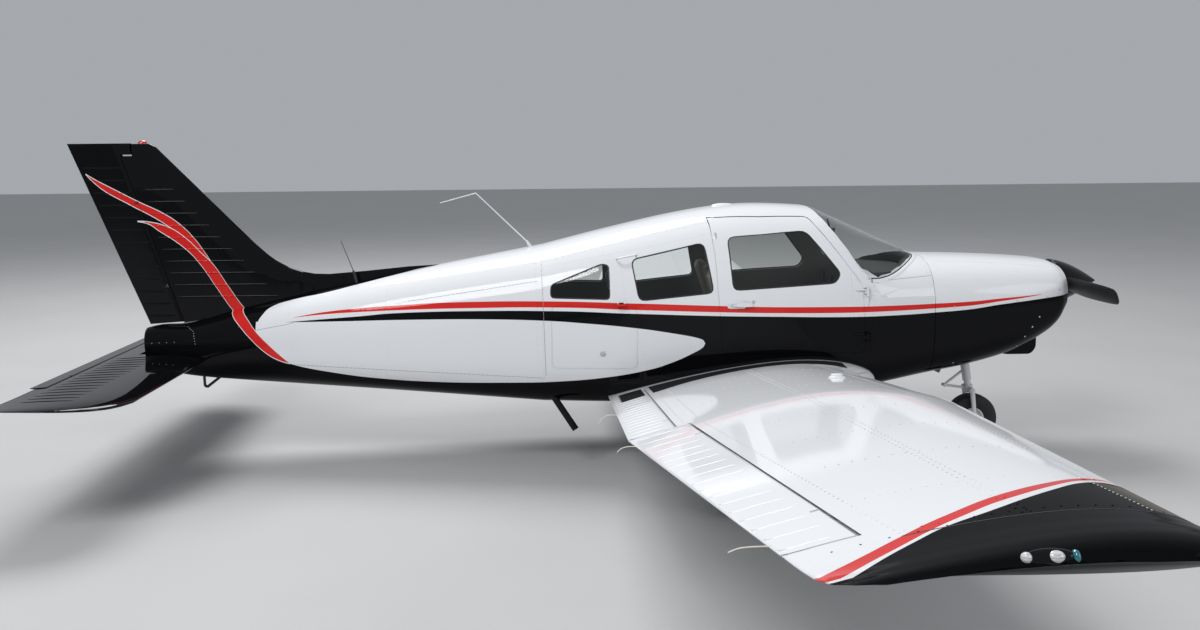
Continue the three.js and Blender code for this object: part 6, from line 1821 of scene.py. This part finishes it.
def cushions():
    """Padded seats. The pads of the two front seats are one shape."""
    for name, x, y, z, length, width, thickness, tilt, seams, voxel in CUSHIONS:
        mesh = pad_blank(length, width, thickness)
        pad = add_object(name, mesh)
        remesh = pad.modifiers.new("voxels", "REMESH")
        remesh.mode, remesh.voxel_size = "VOXEL", voxel
        pad.data = evaluated_mesh(pad)
        pad.modifiers.remove(remesh)
        puff_up(pad)
        sew(pad.data, seams, thickness)
        turn = Matrix.Rotation(math.radians(-tilt), 4, "Y")
        for way in ((-1, 1) if y else (0,)):
            label = {-1: "_right", 1: "_left", 0: ""}[way]
            mesh = pad.data.copy()
            mesh.transform(Matrix.Translation((x, y * way, z)) @ turn)
            shade_smooth(mesh)
            piece = new_object(name + label, mesh, [SEAT_CLOTH], "airframe", slot="seat_cover")
            finer = piece.modifiers.new("finer", "SUBSURF")
            finer.levels = finer.render_levels = 1
        bpy.data.objects.remove(pad)
    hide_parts("seat_front_left")
    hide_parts("seat_front_right")
    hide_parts("seat_rear")
    for label, way in WAYS.items():
        y = way * FRONT_SEAT_Y
        legs = [rod([(x, y + out, FLOOR_Z + 0.0025), (x, y + out, 0.775)], 0.014, (0, 1, 0))
                for x in (0.930, 1.300) for out in (-SEAT_RAIL_Y, SEAT_RAIL_Y)]
        rails = [block((0.890, y + out - 0.015, FLOOR_Z), (1.350, y + out + 0.015, 0.640))
                 for out in (-SEAT_RAIL_Y, SEAT_RAIL_Y)]
        pan = block((0.900, y - 0.190, 0.770), (1.360, y + 0.190, 0.800))
        add_piece(f"front_seat_frame_{label}", [pan] + legs + rails, PLASTIC, "airframe", bevel=0.003)
    box = block((0.215, -0.42, FLOOR_Z), (0.560, 0.42, 0.775))
    add_piece("rear_seat_box", [box], CARPET, "airframe", bevel=0.008)


def add_details():
    tail_beads()
    wing_beads()
    wing_rivets()
    fuselage_rivets()
    window_seals()
    shield_moulding()
    door_hardware()
    grab_handle()
    cowl_details()
    wing_details()
    tip_lights()
    tip_seams()
    door_seams()
    lap_seams()
    propeller()
    wheels()
    fitted_copies()
    panel_details()
    dial_marks()
    cushions()


add_details()


# Stage. Lamps: name, place, size and power

LAMPS = [("key", (-6, -9, 11), 6, 1000), ("top", (-3, 7, 13), 8, 1580), ("fill", (10, -8, 5), 6, 260)]
SKY_COLOUR, SKY_STRENGTH = (0.90, 0.94, 1.0, 1), 0.42
FLOOR_TONES = ((0.44, 0.44, 0.44, 1), (0.50, 0.50, 0.50, 1))
FLOOR_REACH, LIT_POINT = 60, Vector((0, 0, 0.8))


def make_stage():
    finish = Finish("pale_floor")
    tone = finish.noise(0.7, 3.0)
    floor_material = finish.surface(finish.mix(tone, *FLOOR_TONES), 0.75)
    mesh = bpy.data.meshes.new("floor")
    half = FLOOR_REACH
    corners = [(-half, -half, 0), (half, -half, 0), (half, half, 0), (-half, half, 0)]
    mesh.from_pydata(corners, [], [(0, 1, 2, 3)])
    mesh.materials.append(floor_material)
    floor = add_object("floor", mesh)

    world = bpy.data.worlds.new("studio")
    bpy.context.scene.world = world
    world.use_nodes = True
    sky = world.node_tree.nodes["Background"].inputs
    sky["Color"].default_value = SKY_COLOUR
    sky["Strength"].default_value = SKY_STRENGTH
    bpy.context.scene.view_settings.view_transform = "Standard"
    for name, place, size, power in LAMPS:
        data = bpy.data.lights.new(name, "AREA")
        data.shape = "DISK"
        data.size = size
        data.energy = power
        light = add_object(name, data)
        light.location = place
        light.rotation_euler = (LIT_POINT - Vector(place)).to_track_quat("-Z", "Y").to_euler()


make_stage()
